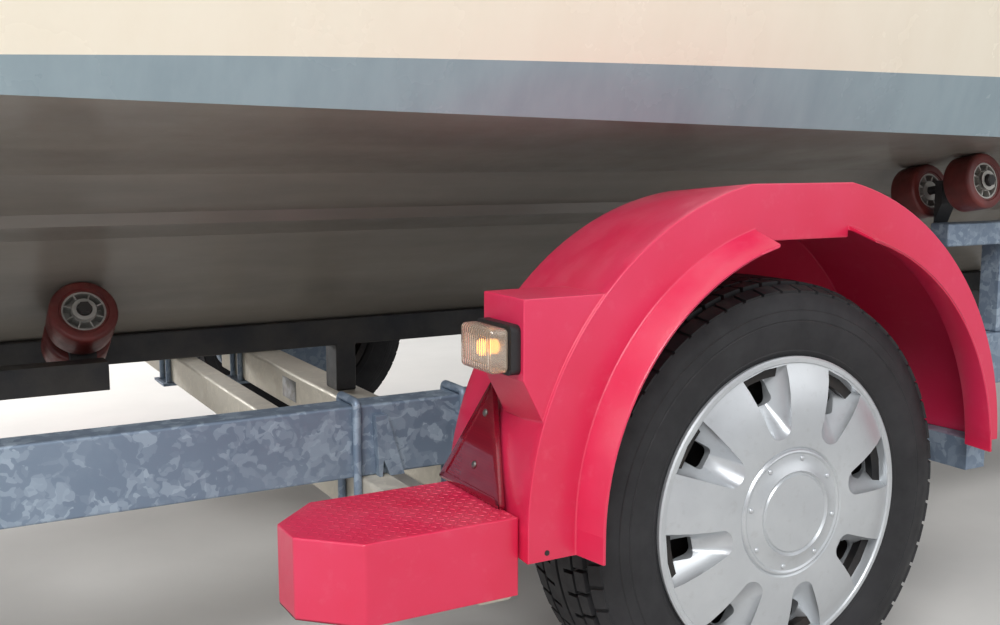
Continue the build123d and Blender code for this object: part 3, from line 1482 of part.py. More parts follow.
swivel_bottom_z = 700.0
swivel_top_z = 1012.0
swivel_radius = 34.0
kingpin_radius = 17.0
with BuildPart() as engine_swivel:
    with BuildSketch(Plane.XY.offset(swivel_bottom_z)):
        with Locations((steer_x, 0)):
            Circle(swivel_radius)
    extrude(amount=swivel_top_z - swivel_bottom_z)
    with BuildSketch(Plane(origin=(tilt_x, 0, tilt_z), x_dir=(1, 0, 0), z_dir=(0, 1, 0))):
        Circle(30)
    extrude(amount=clamp_inner_y - 6, both=True)
    web = [
        (tilt_x, tilt_z - 28),
        (tilt_x, tilt_z + 8),
        (steer_x, swivel_top_z - 4),
        (steer_x, swivel_bottom_z + 30),
        (steer_x + 40, swivel_bottom_z + 30),
        (transom_x(900) - 46, 900.0),
    ]
    extrude(outline(side_plane(0), web), amount=24, both=True)
    with BuildSketch(Plane.XY.offset(swivel_bottom_z - 5)):
        with Locations((steer_x, 0)):
            Circle(kingpin_radius + seat_gap)
    extrude(amount=swivel_top_z - swivel_bottom_z + 10, mode=Mode.SUBTRACT)
    with BuildSketch(Plane(origin=(tilt_x, 0, tilt_z), x_dir=(1, 0, 0), z_dir=(0, 1, 0))):
        Circle(tilt_pin_radius + seat_gap)
    extrude(amount=clamp_inner_y + 20, both=True, mode=Mode.SUBTRACT)
keep(engine_swivel, "engine_swivel")


def foil(z, nose_x, tail_x, half):
    # Streamlined level section with a round nose.
    with BuildSketch(Plane.XY.offset(z)) as level:
        with BuildLine():
            widest = nose_x - (nose_x - tail_x) * 0.36
            ThreePointArc((widest, half), (nose_x, 0), (widest, -half))
            Polyline((widest, -half), (tail_x, -half * 0.24), (tail_x, half * 0.24), (widest, half))
        make_face()
    return level.sketch


cowl_bottom_z = 1106.0
leg_nose = steer_ahead - 42.0
with BuildPart() as engine_leg:
    with BuildSketch(Plane.XY.offset(swivel_bottom_z - 50)):
        with Locations((steer_x, 0)):
            Circle(kingpin_radius)
    extrude(amount=swivel_top_z - swivel_bottom_z + 100)
    # Yokes that join the kingpin to the leg
    for z, height in ((swivel_bottom_z - 60, 54), (swivel_top_z + 6, 50)):
        with BuildSketch(Plane.XY.offset(z)):
            with Locations((steer_x - 40, 0)):
                RectangleRounded(120, 76, 30)
        extrude(amount=height)
    loft(
        [
            foil(plate_z, ahead(leg_nose + 20), ahead(leg_nose - 190), 34),
            foil(640, ahead(leg_nose), ahead(leg_nose - 190), 44),
            foil(cowl_bottom_z + 6, ahead(leg_nose), ahead(leg_nose - 250), 74),
        ],
        ruled=True,
    )
    with BuildSketch(Plane.XY.offset(plate_z)):
        with Locations((ahead(leg_nose - 100), 0)):
            RectangleRounded(330, 190, 60)
    extrude(amount=7)
    loft(
        [
            foil(shaft_z, ahead(leg_nose + 40), ahead(leg_nose - 180), 28),
            foil(plate_z + 2, ahead(leg_nose + 20), ahead(leg_nose - 190), 32),
        ],
        ruled=True,
    )
    # Bullet, from its round nose to the propeller
    bullet_nose = ahead(leg_nose + 110)
    bullet_rear = ahead(leg_nose - 205)
    with BuildSketch(Plane(origin=(0, 0, shaft_z), x_dir=(1, 0, 0), z_dir=(0, -1, 0))):
        with BuildLine():
            Line((bullet_rear, 0), (bullet_nose, 0))
            ThreePointArc((bullet_nose, 0), (bullet_nose - 45, 38), (bullet_nose - 130, 54))
            Polyline(
                (bullet_nose - 130, 54), (bullet_rear + 40, 52), (bullet_rear, 46), (bullet_rear, 0)
            )
        make_face()
    revolve(axis=Axis((0, 0, shaft_z), (1, 0, 0)))
    skeg = [
        (ahead(leg_nose - 10), shaft_z - 40),
        (ahead(leg_nose - 190), shaft_z - 40),
        (ahead(leg_nose - 170), shaft_z - 160),
        (ahead(leg_nose - 90), shaft_z - 160),
    ]
    extrude(outline(side_plane(0), skeg), amount=4, both=True)
    with BuildSketch(Plane.YZ.offset(bullet_rear)):
        with Locations((0, shaft_z)):
            Circle(12)
    extrude(amount=-100)
keep(engine_leg, "engine_leg")

# Cowl: levels with height, nose and tail behind the steering line, half width and corner radius
cowl_levels = [
    (cowl_bottom_z, 165.0, -305.0, 150.0, 70.0),
    (cowl_bottom_z + 90, 172.0, -335.0, 172.0, 84.0),
    (cowl_bottom_z + 250, 150.0, -330.0, 166.0, 90.0),
    (cowl_bottom_z + 355, 90.0, -270.0, 128.0, 90.0),
    (cowl_bottom_z + 385, 20.0, -200.0, 80.0, 60.0),
]
with BuildPart() as engine_cowl:
    levels = []
    for z, nose, tail, half, corner in cowl_levels:
        with BuildSketch(Plane.XY.offset(z), mode=Mode.PRIVATE) as level:
            with Locations((steer_x + (nose + tail) / 2, 0)):
                RectangleRounded(nose - tail, 2 * half, corner)
        levels.append(level.sketch)
    loft(levels)
    add(engine_leg.part, mode=Mode.SUBTRACT)
keep(engine_cowl, "engine_cowl")

# Propeller: hub and three pitched blades
blade_count = 3
propeller_x = bullet_rear - 5
hub_length = 88.0
with BuildPart() as propeller:
    with BuildSketch(Plane.YZ.offset(propeller_x)):
        with Locations((0, shaft_z)):
            Circle(46)
            Circle(12.3, mode=Mode.SUBTRACT)
    extrude(amount=-hub_length)
    # Blade stations: radius, chord, thickness, angle from the disc plane
    blade_stations = [(38.0, 92.0, 11.0, 52.0), (92.0, 122.0, 7.0, 33.0), (propeller_radius, 62.0, 3.0, 24.0)]
    for i in range(blade_count):
        turn = radians(90 + i * 360 / blade_count)
        outward = Vector(0, cos(turn), sin(turn))
        tangent = Vector(0, -sin(turn), cos(turn))
        faces = []
        for radius, chord, thickness, pitch in blade_stations:
            chord_dir = tangent * cos(radians(pitch)) + Vector(1, 0, 0) * sin(radians(pitch))
            origin = Vector(propeller_x - hub_length / 2, 0, shaft_z) + outward * radius
            station_plane = Plane(origin=origin, x_dir=chord_dir, z_dir=outward)
            with BuildSketch(station_plane, mode=Mode.PRIVATE) as station:
                Rectangle(chord, thickness)
            faces.append(station.sketch)
        loft(faces, ruled=True)
    with BuildSketch(Plane.YZ.offset(propeller_x)):
        with Locations((0, shaft_z)):
            Circle(12.3)
    extrude(amount=-hub_length, mode=Mode.SUBTRACT)
keep(propeller, "propeller")
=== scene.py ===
import bpy
import json
import math
from mathutils import Matrix, Vector


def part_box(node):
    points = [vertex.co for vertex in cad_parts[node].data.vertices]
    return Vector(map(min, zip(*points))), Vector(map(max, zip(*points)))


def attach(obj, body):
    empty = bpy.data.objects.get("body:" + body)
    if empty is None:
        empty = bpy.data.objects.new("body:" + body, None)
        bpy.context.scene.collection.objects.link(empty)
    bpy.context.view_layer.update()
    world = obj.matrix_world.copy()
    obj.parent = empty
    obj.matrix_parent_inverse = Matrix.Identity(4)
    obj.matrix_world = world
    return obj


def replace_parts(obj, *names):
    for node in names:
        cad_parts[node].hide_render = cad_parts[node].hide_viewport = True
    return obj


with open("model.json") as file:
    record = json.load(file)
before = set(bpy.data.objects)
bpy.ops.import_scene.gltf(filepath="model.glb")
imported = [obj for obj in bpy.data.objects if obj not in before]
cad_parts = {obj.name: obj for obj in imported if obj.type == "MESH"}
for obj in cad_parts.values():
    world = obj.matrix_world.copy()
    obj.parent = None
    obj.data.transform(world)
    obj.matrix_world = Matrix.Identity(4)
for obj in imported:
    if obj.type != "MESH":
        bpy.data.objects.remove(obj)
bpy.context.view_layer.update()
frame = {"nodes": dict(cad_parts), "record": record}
bpy.ops.object.select_all(action="DESELECT")
print("frame loaded:", len(frame["nodes"]), "nodes")

root = "boat_on_trailer"
axleX, wheelY, axleZ = -0.540, 0.914, 0.2965      # middle of the port road wheel, in the frame
portWheel = Vector((axleX, wheelY, axleZ))
contactGap = 0.0003                               # left between pieces that lie on each other


def ahead(distance):                              # X of a place measured forward from the road axle
    return axleX + distance


def activate(obj):
    bpy.ops.object.select_all(action="DESELECT")
    obj.select_set(True)
    bpy.context.view_layer.objects.active = obj


def openMesh(obj, action="SELECT", kind="FACE"):  # into edit mode with all or nothing selected
    activate(obj)
    bpy.ops.object.mode_set(mode="EDIT")
    bpy.ops.mesh.select_mode(type=kind)
    bpy.ops.mesh.select_all(action=action)


def closeMesh():
    bpy.ops.object.mode_set(mode="OBJECT")


def withModifier(obj, kind, **settings):          # add one modifier and apply it
    activate(obj)
    mod = obj.modifiers.new(kind.title(), kind)
    for key, value in settings.items():
        setattr(mod, key, value)
    bpy.ops.object.modifier_apply(modifier=mod.name)


def freezePlace(obj):                             # the place goes into the mesh
    activate(obj)
    bpy.ops.object.transform_apply(location=True, rotation=True, scale=True)
    return obj


def tidyNormals(obj, gap=0.00002):                # merge doubles, then turn every face outwards
    openMesh(obj)
    bpy.ops.mesh.remove_doubles(threshold=gap)
    bpy.ops.mesh.normals_make_consistent(inside=False)
    closeMesh()


def finished(obj, name, finishName, angle=40, body=root):
    obj.name = obj.data.name = name
    freezePlace(obj)
    obj.data.materials.clear()
    obj.data.materials.append(materials[finishName])
    bpy.ops.object.shade_smooth_by_angle(angle=math.radians(angle))
    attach(obj, body)
    return obj


def joined(parts):
    activate(parts[0])
    for part in parts:
        part.select_set(True)
    bpy.ops.object.join()
    return parts[0]


def copied(obj):
    twin = obj.copy()
    twin.data = obj.data.copy()
    bpy.context.collection.objects.link(twin)
    return twin


def moved(obj, matrix):
    obj.data.transform(matrix)
    return obj


def standing(xWay, zWay, place):                  # puts a model's X and Z along two given ways
    x, z = Vector(xWay), Vector(zWay)
    return Matrix.Translation(place) @ Matrix((x, z.cross(x), z)).transposed().to_4x4()


def toStarboard(obj, body=root):        # the same piece mirrored to the other side
    twin = copied(obj)
    twin.parent = None
    moved(twin, Matrix.Scale(-1, 4, (0, 1, 0)))
    openMesh(twin)
    bpy.ops.mesh.flip_normals()
    closeMesh()
    twin.name = twin.data.name = obj.name.replace("_port", "_starboard")
    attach(twin, body)
    return twin


def slab(size, centre, bevel=0.002, segments=2, turn=(0, 0, 0)):
    bpy.ops.mesh.primitive_cube_add(size=1, location=centre, rotation=turn, scale=size)
    obj = bpy.context.object
    activate(obj)
    bpy.ops.object.transform_apply(location=False, rotation=False, scale=True)
    if bevel:
        withModifier(obj, "BEVEL", width=bevel, segments=segments, limit_method="ANGLE")
    return obj


def rod(radius, length, centre, axis=(0, 0, 1), sides=24, bevel=0.001):
    turn = Vector((0, 0, 1)).rotation_difference(Vector(axis)).to_euler()
    bpy.ops.mesh.primitive_cylinder_add(
        radius=radius, depth=length, vertices=sides, location=centre, rotation=turn
    )
    obj = bpy.context.object
    if bevel:
        withModifier(obj, "BEVEL", width=bevel, segments=2, limit_method="ANGLE",
                     angle_limit=math.radians(50))
    return obj


def ball(radius, centre, scale, segments=16, rings=10):
    bpy.ops.mesh.primitive_uv_sphere_add(
        segments=segments, ring_count=rings, radius=radius, location=centre, scale=scale
    )
    return bpy.context.object


def turned(profile, steps, centre=Vector((0, 0, 0)), closed=True):
    # One point is extruded along the profile (distance along Y, radius) and spun about the Y axis
    # through the centre.
    bpy.ops.mesh.primitive_plane_add(size=0.01, location=centre)
    obj = bpy.context.object
    openMesh(obj, kind="VERT")
    bpy.ops.mesh.merge(type="CENTER")
    here = (0.0, 0.0)
    for i, (along, radius) in enumerate(profile + profile[:1] if closed else profile):
        step = (0, along - here[0], radius - here[1])
        if i == 0:
            bpy.ops.transform.translate(value=step)
        else:
            bpy.ops.mesh.extrude_vertices_move(TRANSFORM_OT_translate={"value": step})
        here = (along, radius)
    bpy.ops.mesh.select_all(action="SELECT")
    bpy.ops.mesh.spin(steps=steps, angle=math.tau, center=centre, axis=(0, 1, 0))
    closeMesh()
    tidyNormals(obj, 0.00005)
    return obj


def selectFaces(obj, wanted):                     # leaves the mesh open with those faces selected
    openMesh(obj, "DESELECT")
    closeMesh()
    for face in obj.data.polygons:
        face.select = wanted(face.center, face.normal)
    bpy.ops.object.mode_set(mode="EDIT")


def pushed(distance):                             # extrude the selected faces by a step
    bpy.ops.mesh.extrude_region_move(TRANSFORM_OT_translate={"value": distance})


def raised(obj, wanted, height):                  # lift some faces off the surface
    selectFaces(obj, wanted)
    pushed((0, 0, 0))
    bpy.ops.transform.shrink_fatten(value=height)
    closeMesh()


def carved(obj, cutter):
    withModifier(obj, "BOOLEAN", object=cutter, operation="DIFFERENCE", solver="EXACT")
    bpy.data.objects.remove(cutter)


def tint(red, green, blue):                       # screen colour to Blender's linear colour
    shares = [c / 255 for c in (red, green, blue)]
    return tuple(((c + 0.055) / 1.055) ** 2.4 if c > 0.04 else c / 12.92 for c in shares) + (1.0,)


def setInputs(tree, node, inputs):                # an input takes a value or another node's output
    for key, value in inputs.items():
        if isinstance(value, bpy.types.NodeSocket):
            tree.links.new(value, node.inputs[key])
        else:
            node.inputs[key].default_value = value
    return node


def newNode(tree, kind, inputs, **settings):
    node = tree.nodes.new("ShaderNode" + kind)
    for key, value in settings.items():
        setattr(node, key, value)
    return setInputs(tree, node, inputs)


def objectPlace(tree, stretch=(1, 1, 1)):
    coord = newNode(tree, "TexCoord", {})
    mapping = newNode(tree, "Mapping", {"Vector": coord.outputs["Object"], "Scale": stretch})
    return mapping.outputs["Vector"]


def startMaterial(name):
    mat = bpy.data.materials.new(name)
    mat.use_nodes = True
    tree = mat.node_tree
    return mat, tree, tree.nodes["Principled BSDF"], objectPlace(tree)


def noise(tree, place, scale, detail=5.0):
    node = newNode(tree, "TexNoise",
                   {"Vector": place, "Scale": scale, "Detail": detail, "Roughness": 0.6})
    return node.outputs["Fac"]


def graded(tree, value, low, high, toLow=0.0, toHigh=1.0):
    node = newNode(tree, "MapRange", {"Value": value, "From Min": low, "From Max": high,
                                      "To Min": toLow, "To Max": toHigh})
    return node.outputs["Result"]


def sums(tree, kind, first, second):
    return newNode(tree, "Math", {0: first, 1: second}, operation=kind).outputs["Value"]


def mixed(tree, factor, first, second):           # 6 and 7 are the Mix node's two colours
    return newNode(tree, "Mix", {0: factor, 6: first, 7: second}, data_type="RGBA").outputs[2]


def bumped(tree, shader, height, strength, distance):
    bump = newNode(tree, "Bump", {"Height": height, "Strength": strength, "Distance": distance})
    tree.links.new(bump.outputs["Normal"], shader.inputs["Normal"])


def axes(tree, vector):
    return newNode(tree, "SeparateXYZ", {"Vector": vector}).outputs


def upFacing(tree, source="Normal"):              # 1 on a face that looks up, -1 on an underside
    return axes(tree, newNode(tree, "NewGeometry", {}).outputs[source])["Z"]


def finish(name, look):
    # One worn, slightly uneven surface from a dictionary of its screen colours and scales.
    mat, tree, shader, place = startMaterial(name)
    patch = look["patch"]
    patches = graded(tree, noise(tree, place, patch, 6), 0.36, 0.66)
    colour = mixed(tree, patches, tint(*look["base"]), tint(*look["shade"]))
    specks = graded(tree, noise(tree, place, patch * 14, 3), 0.58, 0.74, 0.0,
                    look.get("specks", 0.25))
    colour = mixed(tree, specks, colour, tint(*look.get("speckColour", look["shade"])))
    # Upward faces take a paler colour in patches: dust on most finishes, and on the red moulding a
    # faded pink that is partly a painted highlight from the sky.
    if "dustAndTopSheen" in look:
        lying = graded(tree, upFacing(tree), 0.35, 0.95)
        topPatches = graded(tree, noise(tree, place, patch * 3), 0.42, 0.7, 0.0, look["dustAndTopSheenAmount"])
        colour = mixed(tree, sums(tree, "MULTIPLY", lying, topPatches), colour, tint(*look["dustAndTopSheen"]))
    sheen = graded(tree, noise(tree, place, patch * 2.3), 0.3, 0.7, *look["rough"])
    setInputs(tree, shader, {
        "Base Color": colour, "Roughness": sheen, "Metallic": look.get("metal", 0.0),
        "Coat Weight": look.get("coat", 0.0), "Coat Roughness": look.get("coatRough", 0.1),
    })
    if "lit" in look:
        glow, strength = look["lit"]
        setInputs(tree, shader, {"Emission Color": tint(*glow), "Emission Strength": strength})
    grain, strength, depth = look["grain"]
    bumped(tree, shader, noise(tree, place, grain, 4), strength, depth)
    return mat


looks = {                                         # grain: its scale, strength and depth
    # dark_steel: near-black steel; on the keel beam under the keel this dark is partly painted
    # shade.
    "dark_steel": dict(base=(44, 46, 50), shade=(66, 64, 62), patch=9, rough=(0.42, 0.7),
                       metal=0.35, grain=(260, 0.25, 0.001), dustAndTopSheen=(120, 108, 92),
                       dustAndTopSheenAmount=0.35),
    # red_moulding: its pale pink on upward faces is partly sun-fading and partly a painted sky
    # highlight on the crown.
    "red_moulding": dict(base=(204, 28, 68), shade=(212, 48, 88), patch=3.2, rough=(0.28, 0.46),
                         coat=0.35, coatRough=0.22, grain=(420, 0.10, 0.0006), specks=0.10,
                         speckColour=(228, 120, 138), dustAndTopSheen=(220, 120, 134), dustAndTopSheenAmount=0.35),
    "black_plastic": dict(base=(26, 26, 28), shade=(40, 40, 42), patch=12, rough=(0.4, 0.62),
                          grain=(600, 0.25, 0.0006)),
    "tyre": dict(base=(24, 24, 27), shade=(36, 36, 39), patch=14, rough=(0.55, 0.78),
                 grain=(500, 0.2, 0.0005), dustAndTopSheen=(88, 82, 74), dustAndTopSheenAmount=0.3),
    "rim": dict(base=(30, 30, 32), shade=(52, 46, 42), patch=20, rough=(0.4, 0.65), metal=0.3,
                grain=(300, 0.2, 0.0006)),
    "brake_iron": dict(base=(72, 58, 50), shade=(104, 72, 54), patch=25, rough=(0.6, 0.85),
                       metal=0.5, grain=(200, 0.5, 0.001)),
    "wheel_trim": dict(base=(198, 202, 205), shade=(182, 186, 190), patch=6, rough=(0.3, 0.42),
                       metal=0.55, coat=0.3, coatRough=0.25, grain=(900, 0.05, 0.0003),
                       specks=0.15, speckColour=(140, 138, 134)),
    "roller": dict(base=(112, 42, 38), shade=(84, 32, 30), patch=26, rough=(0.35, 0.6), coat=0.1,
                   grain=(240, 0.2, 0.0008), dustAndTopSheen=(150, 110, 96), dustAndTopSheenAmount=0.3),
    "roller_hub": dict(base=(178, 176, 170), shade=(150, 148, 142), patch=40, rough=(0.35, 0.55),
                       metal=0.3, grain=(400, 0.2, 0.0005)),
    "deck_gelcoat": dict(base=(236, 229, 212), shade=(232, 224, 206), patch=2.2, rough=(0.2, 0.36),
                         coat=0.5, coatRough=0.08, grain=(300, 0.04, 0.0005), specks=0.03,
                         speckColour=(190, 182, 164)),
    "floor": dict(base=(150, 148, 140), shade=(132, 130, 124), patch=6, rough=(0.6, 0.85),
                  grain=(240, 0.5, 0.0012), dustAndTopSheen=(178, 170, 156), dustAndTopSheenAmount=0.3),
    "vinyl": dict(base=(214, 208, 196), shade=(200, 194, 180), patch=5, rough=(0.38, 0.55),
                  grain=(520, 0.35, 0.0007), specks=0.1, speckColour=(196, 186, 168)),
    "stainless": dict(base=(214, 216, 218), shade=(190, 192, 195), patch=8, rough=(0.12, 0.26),
                      metal=1.0, grain=(700, 0.04, 0.0003)),
    "rubber": dict(base=(26, 26, 27), shade=(42, 41, 40), patch=16, rough=(0.6, 0.8),
                   grain=(400, 0.3, 0.0008), dustAndTopSheen=(96, 90, 82), dustAndTopSheenAmount=0.25),
    "rub_strake": dict(base=(46, 48, 52), shade=(62, 63, 66), patch=10, rough=(0.45, 0.65),
                       grain=(400, 0.2, 0.0006)),
    "webbing": dict(base=(196, 92, 24), shade=(176, 80, 24), patch=30, rough=(0.75, 0.9),
                    grain=(900, 0.7, 0.001)),
    "engine_paint": dict(base=(40, 43, 47), shade=(54, 56, 60), patch=7, rough=(0.3, 0.45),
                         coat=0.3, grain=(500, 0.1, 0.0005)),
    "cowl": dict(base=(30, 33, 37), shade=(38, 41, 45), patch=4, rough=(0.12, 0.24), coat=0.8,
                 coatRough=0.05, grain=(200, 0.03, 0.0005)),
    "propeller": dict(base=(52, 54, 57), shade=(80, 80, 82), patch=18, rough=(0.3, 0.5), metal=0.7,
                      grain=(300, 0.15, 0.0005)),
    "grey_rim": dict(base=(120, 122, 125), shade=(102, 104, 107), patch=20, rough=(0.4, 0.6),
                     grain=(400, 0.15, 0.0005)),
    "amber": dict(base=(240, 150, 50), shade=(244, 170, 80), patch=60, rough=(0.15, 0.3),
                  grain=(300, 0.05, 0.0003), lit=((255, 178, 96), 3.0)),
    "bolt_steel": dict(base=(150, 152, 155), shade=(120, 118, 114), patch=60, rough=(0.3, 0.5),
                       metal=0.9, grain=(500, 0.2, 0.0004)),
}
materials = {name: finish(name, look) for name, look in looks.items()}

# Hot-dip zinc: overlapping crystal flakes of two sizes, each with its own grey
zinc = dict(
    galvanised=dict(light=(160, 175, 190), dark=(118, 134, 153), rough=(0.42, 0.62)),
    # The pale zinc is a paler, warmer copy of the galvanised finish for the cross and axle tubes:
    # partly whiter weathered zinc, partly painted sunlight.
    pale_zinc_with_painted_sun=dict(light=(216, 210, 196), dark=(200, 194, 180), rough=(0.5, 0.7)),
)
flakes = dict(sizes=[(84.0, 0.6), (84.0 * 0.45, 0.4)], waver=0.5 / 12, waverScale=40)


def zincFinish(name, look):
    mat, tree, shader, place = startMaterial(name)
    warp = newNode(tree, "TexNoise", {"Vector": place, "Scale": flakes["waverScale"]})
    waver = (flakes["waver"],) * 3
    shift = newNode(tree, "VectorMath", {0: warp.outputs["Color"], 1: waver, 2: place},
                    operation="MULTIPLY_ADD")
    tones = []
    for scale, share in flakes["sizes"]:
        cells = newNode(tree, "TexVoronoi", {"Vector": shift.outputs["Vector"], "Scale": scale})
        split = newNode(tree, "SeparateColor", {"Color": cells.outputs["Color"]})
        tones.append(sums(tree, "MULTIPLY", split.outputs[0], share))
    tone = sums(tree, "ADD", *tones)
    light, dark = tint(*look["light"]), tint(*look["dark"])
    colour = mixed(tree, graded(tree, tone, 0.40, 0.95), dark, light)
    stain = graded(tree, noise(tree, place, 5, 7), 0.52, 0.74, 0.0, 0.3)
    setInputs(tree, shader, {
        "Base Color": mixed(tree, stain, colour, light), "Metallic": 0.4,
        "Roughness": graded(tree, tone, 0.1, 0.9, *look["rough"]),
    })
    bumped(tree, shader, tone, 0.08, 0.0005)
    return mat


# Hull: cream topsides, a blue-grey band above the chine and a bottom in painted shade, which is the
# band's blue-grey darkened and warmed for the shade and warm bounce light under the hull. The two
# lines are heights at places along the hull, and the well is the cockpit, which stays cream inside.
hullPaint = dict(
    cream=((238, 230, 212), (235, 226, 207)), band=((141, 159, 167), (130, 148, 157)),
    shadedBottom=((116, 111, 104), (132, 126, 117)), undersideBelow=-0.62,
    well=dict(floor=0.79, half=0.68, rear=-1.72, front=0.40),
    borderZ=[(-2.7, 0.885), (-1.207, 0.8793), (-0.240, 0.8690), (0.344, 0.8519), (1.3, 0.806),
             (2.6, 0.70)],
    chineZ=[(-2.7, 0.757), (0.36, 0.813), (0.76, 0.832), (1.31, 0.880), (1.89, 0.972), (2.29, 1.09),
            (2.47, 1.26)],
    bowFrom=0.9, chineSlack=-0.012,
)


def heightLine(tree, along, points, lowest=0.6, highest=1.4):
    rear, front = points[0][0], points[-1][0]
    curve = newNode(tree, "FloatCurve", {"Value": graded(tree, along, rear, front)})
    line = curve.mapping.curves[0]
    shares = [((x - rear) / (front - rear), (z - lowest) / (highest - lowest)) for x, z in points]
    line.points[0].location = shares[0]
    line.points[1].location = shares[-1]
    for share in shares[1:-1]:
        line.points.new(*share)
    curve.mapping.update()
    return graded(tree, curve.outputs["Value"], 0, 1, lowest, highest)


def hullFinish():
    mat, tree, shader, place = startMaterial("hullPaint")
    along, across, height = axes(tree, place)
    well = hullPaint["well"]
    within = 1.0
    for kind, value, limit in (
        ("GREATER_THAN", height, well["floor"]),
        ("LESS_THAN", sums(tree, "ABSOLUTE", across, 0.0), well["half"]),
        ("GREATER_THAN", along, well["rear"]), ("LESS_THAN", along, well["front"]),
    ):
        within = sums(tree, "MULTIPLY", within, sums(tree, kind, value, limit))
    outside = sums(tree, "SUBTRACT", 1.0, within)

    # Below the chine line, and on faces that look down, the hull takes the bottom's painted shade.
    underside = sums(tree, "LESS_THAN", upFacing(tree, "True Normal"), hullPaint["undersideBelow"])
    forward = sums(tree, "GREATER_THAN", along, hullPaint["bowFrom"])
    slack = graded(tree, forward, 0, 1, hullPaint["chineSlack"], 0.0)
    chine = sums(tree, "ADD", heightLine(tree, along, hullPaint["chineZ"]), slack)
    isBottom = sums(tree, "MAXIMUM", underside, sums(tree, "LESS_THAN", height, chine))
    isBottom = sums(tree, "MULTIPLY", isBottom, outside)
    isBand = sums(tree, "LESS_THAN", height, heightLine(tree, along, hullPaint["borderZ"]))
    isBand = sums(tree, "MULTIPLY", isBand, outside)

    streaks = graded(tree, noise(tree, objectPlace(tree, (6, 6, 0.8)), 3), 0.4, 0.75)
    # Long bands along the hull mix the two tones of the bottom's painted shade.
    bottomBands = graded(tree, noise(tree, objectPlace(tree, (0.5, 3.0, 3.0)), 4, 6), 0.35, 0.7)
    cream, band, shadedBottom = [
        mixed(tree, mask, *[tint(*colour) for colour in hullPaint[name]])
        for name, mask in (("cream", streaks), ("band", streaks), ("shadedBottom", bottomBands))
    ]
    gloss = graded(tree, noise(tree, place, 5), 0.3, 0.7, 0.18, 0.32)
    dull = graded(tree, noise(tree, place, 9), 0.3, 0.7, 0.34, 0.56)
    setInputs(tree, shader, {
        "Base Color": mixed(tree, isBottom, mixed(tree, isBand, cream, band), shadedBottom),
        "Roughness": newNode(tree, "Mix", {0: isBottom, 2: gloss, 3: dull}).outputs[0],
        "Coat Weight": 0.3, "Coat Roughness": 0.12,
    })
    bumped(tree, shader, noise(tree, place, 160, 4), 0.06, 0.0008)
    return mat


def clearFinish(name, colour, rough, flutes=0.0, glow=0.0):
    mat, tree, shader, place = startMaterial(name)
    haze = graded(tree, noise(tree, place, 30, 4), 0.4, 0.8, 0.0, 0.15)
    setInputs(tree, shader, {
        "Base Color": mixed(tree, haze, colour, tint(226, 224, 214)), "Roughness": rough,
        "Transmission Weight": 0.92 - glow, "Emission Color": tint(255, 196, 150),
        "Emission Strength": glow, "IOR": 1.45,
    })
    if flutes:
        wave = newNode(tree, "TexWave", {"Vector": place, "Scale": flutes}, bands_direction="Y")
        bumped(tree, shader, wave.outputs["Fac"], 0.5, 0.0012)
    else:
        bumped(tree, shader, noise(tree, place, 200, 2), 0.03, 0.0004)
    return mat


def prismFinish(name, colour, deep, cellScale=420, relief=0.35):
    mat, tree, shader, place = startMaterial(name)
    cells = newNode(tree, "TexVoronoi", {"Vector": place, "Scale": cellScale, "Randomness": 0.0})
    shine = graded(tree, cells.outputs["Distance"], 0.1, 0.6)
    setInputs(tree, shader, {"Base Color": mixed(tree, shine, colour, deep), "Roughness": 0.12,
                             "Coat Weight": 0.8})
    bumped(tree, shader, cells.outputs["Distance"], relief, 0.0008)
    return mat


def tailLensFinish(amberFrom=0.680):
    # Red towards the middle of the trailer's width, amber outside that distance.
    mat, tree, shader, place = startMaterial("tail_lens")
    aside = sums(tree, "ABSOLUTE", axes(tree, place)["Y"], 0.0)
    outer = sums(tree, "GREATER_THAN", aside, amberFrom)
    ribs = newNode(tree, "TexWave", {"Vector": place, "Scale": 40}, bands_direction="Z")
    colour = mixed(tree, outer, tint(158, 12, 20), tint(224, 112, 20))
    setInputs(tree, shader, {"Base Color": colour, "Roughness": 0.14, "Coat Weight": 0.8})
    bumped(tree, shader, ribs.outputs["Fac"], 0.4, 0.001)
    return mat


def addStripe(mat, low, high, colour):            # a band of paint between two heights
    tree = mat.node_tree
    shader = tree.nodes["Principled BSDF"]
    height = axes(tree, objectPlace(tree))["Z"]
    inside = sums(tree, "MULTIPLY", sums(tree, "GREATER_THAN", height, low),
                  sums(tree, "LESS_THAN", height, high))
    paint = shader.inputs["Base Color"].links[0].from_socket
    setInputs(tree, shader, {"Base Color": mixed(tree, inside, paint, colour)})


addStripe(materials["cowl"], 1.196, 1.208, tint(196, 198, 200))
for name, look in zinc.items():
    materials[name] = zincFinish(name, look)
materials["hullPaint"] = hullFinish()
materials["clear_lens"] = clearFinish("clear_lens", tint(255, 246, 234), 0.06, 60, 0.015)
materials["screen"] = clearFinish("screen", tint(206, 222, 222), 0.02)
materials["red_lens"] = prismFinish("red_lens", tint(128, 16, 36), tint(116, 13, 34), 260, 0.02)
materials["green_lens"] = prismFinish("green_lens", tint(16, 150, 70), tint(6, 84, 40))
materials["tail_lens"] = tailLensFinish()
print("finishes made:", len(materials))

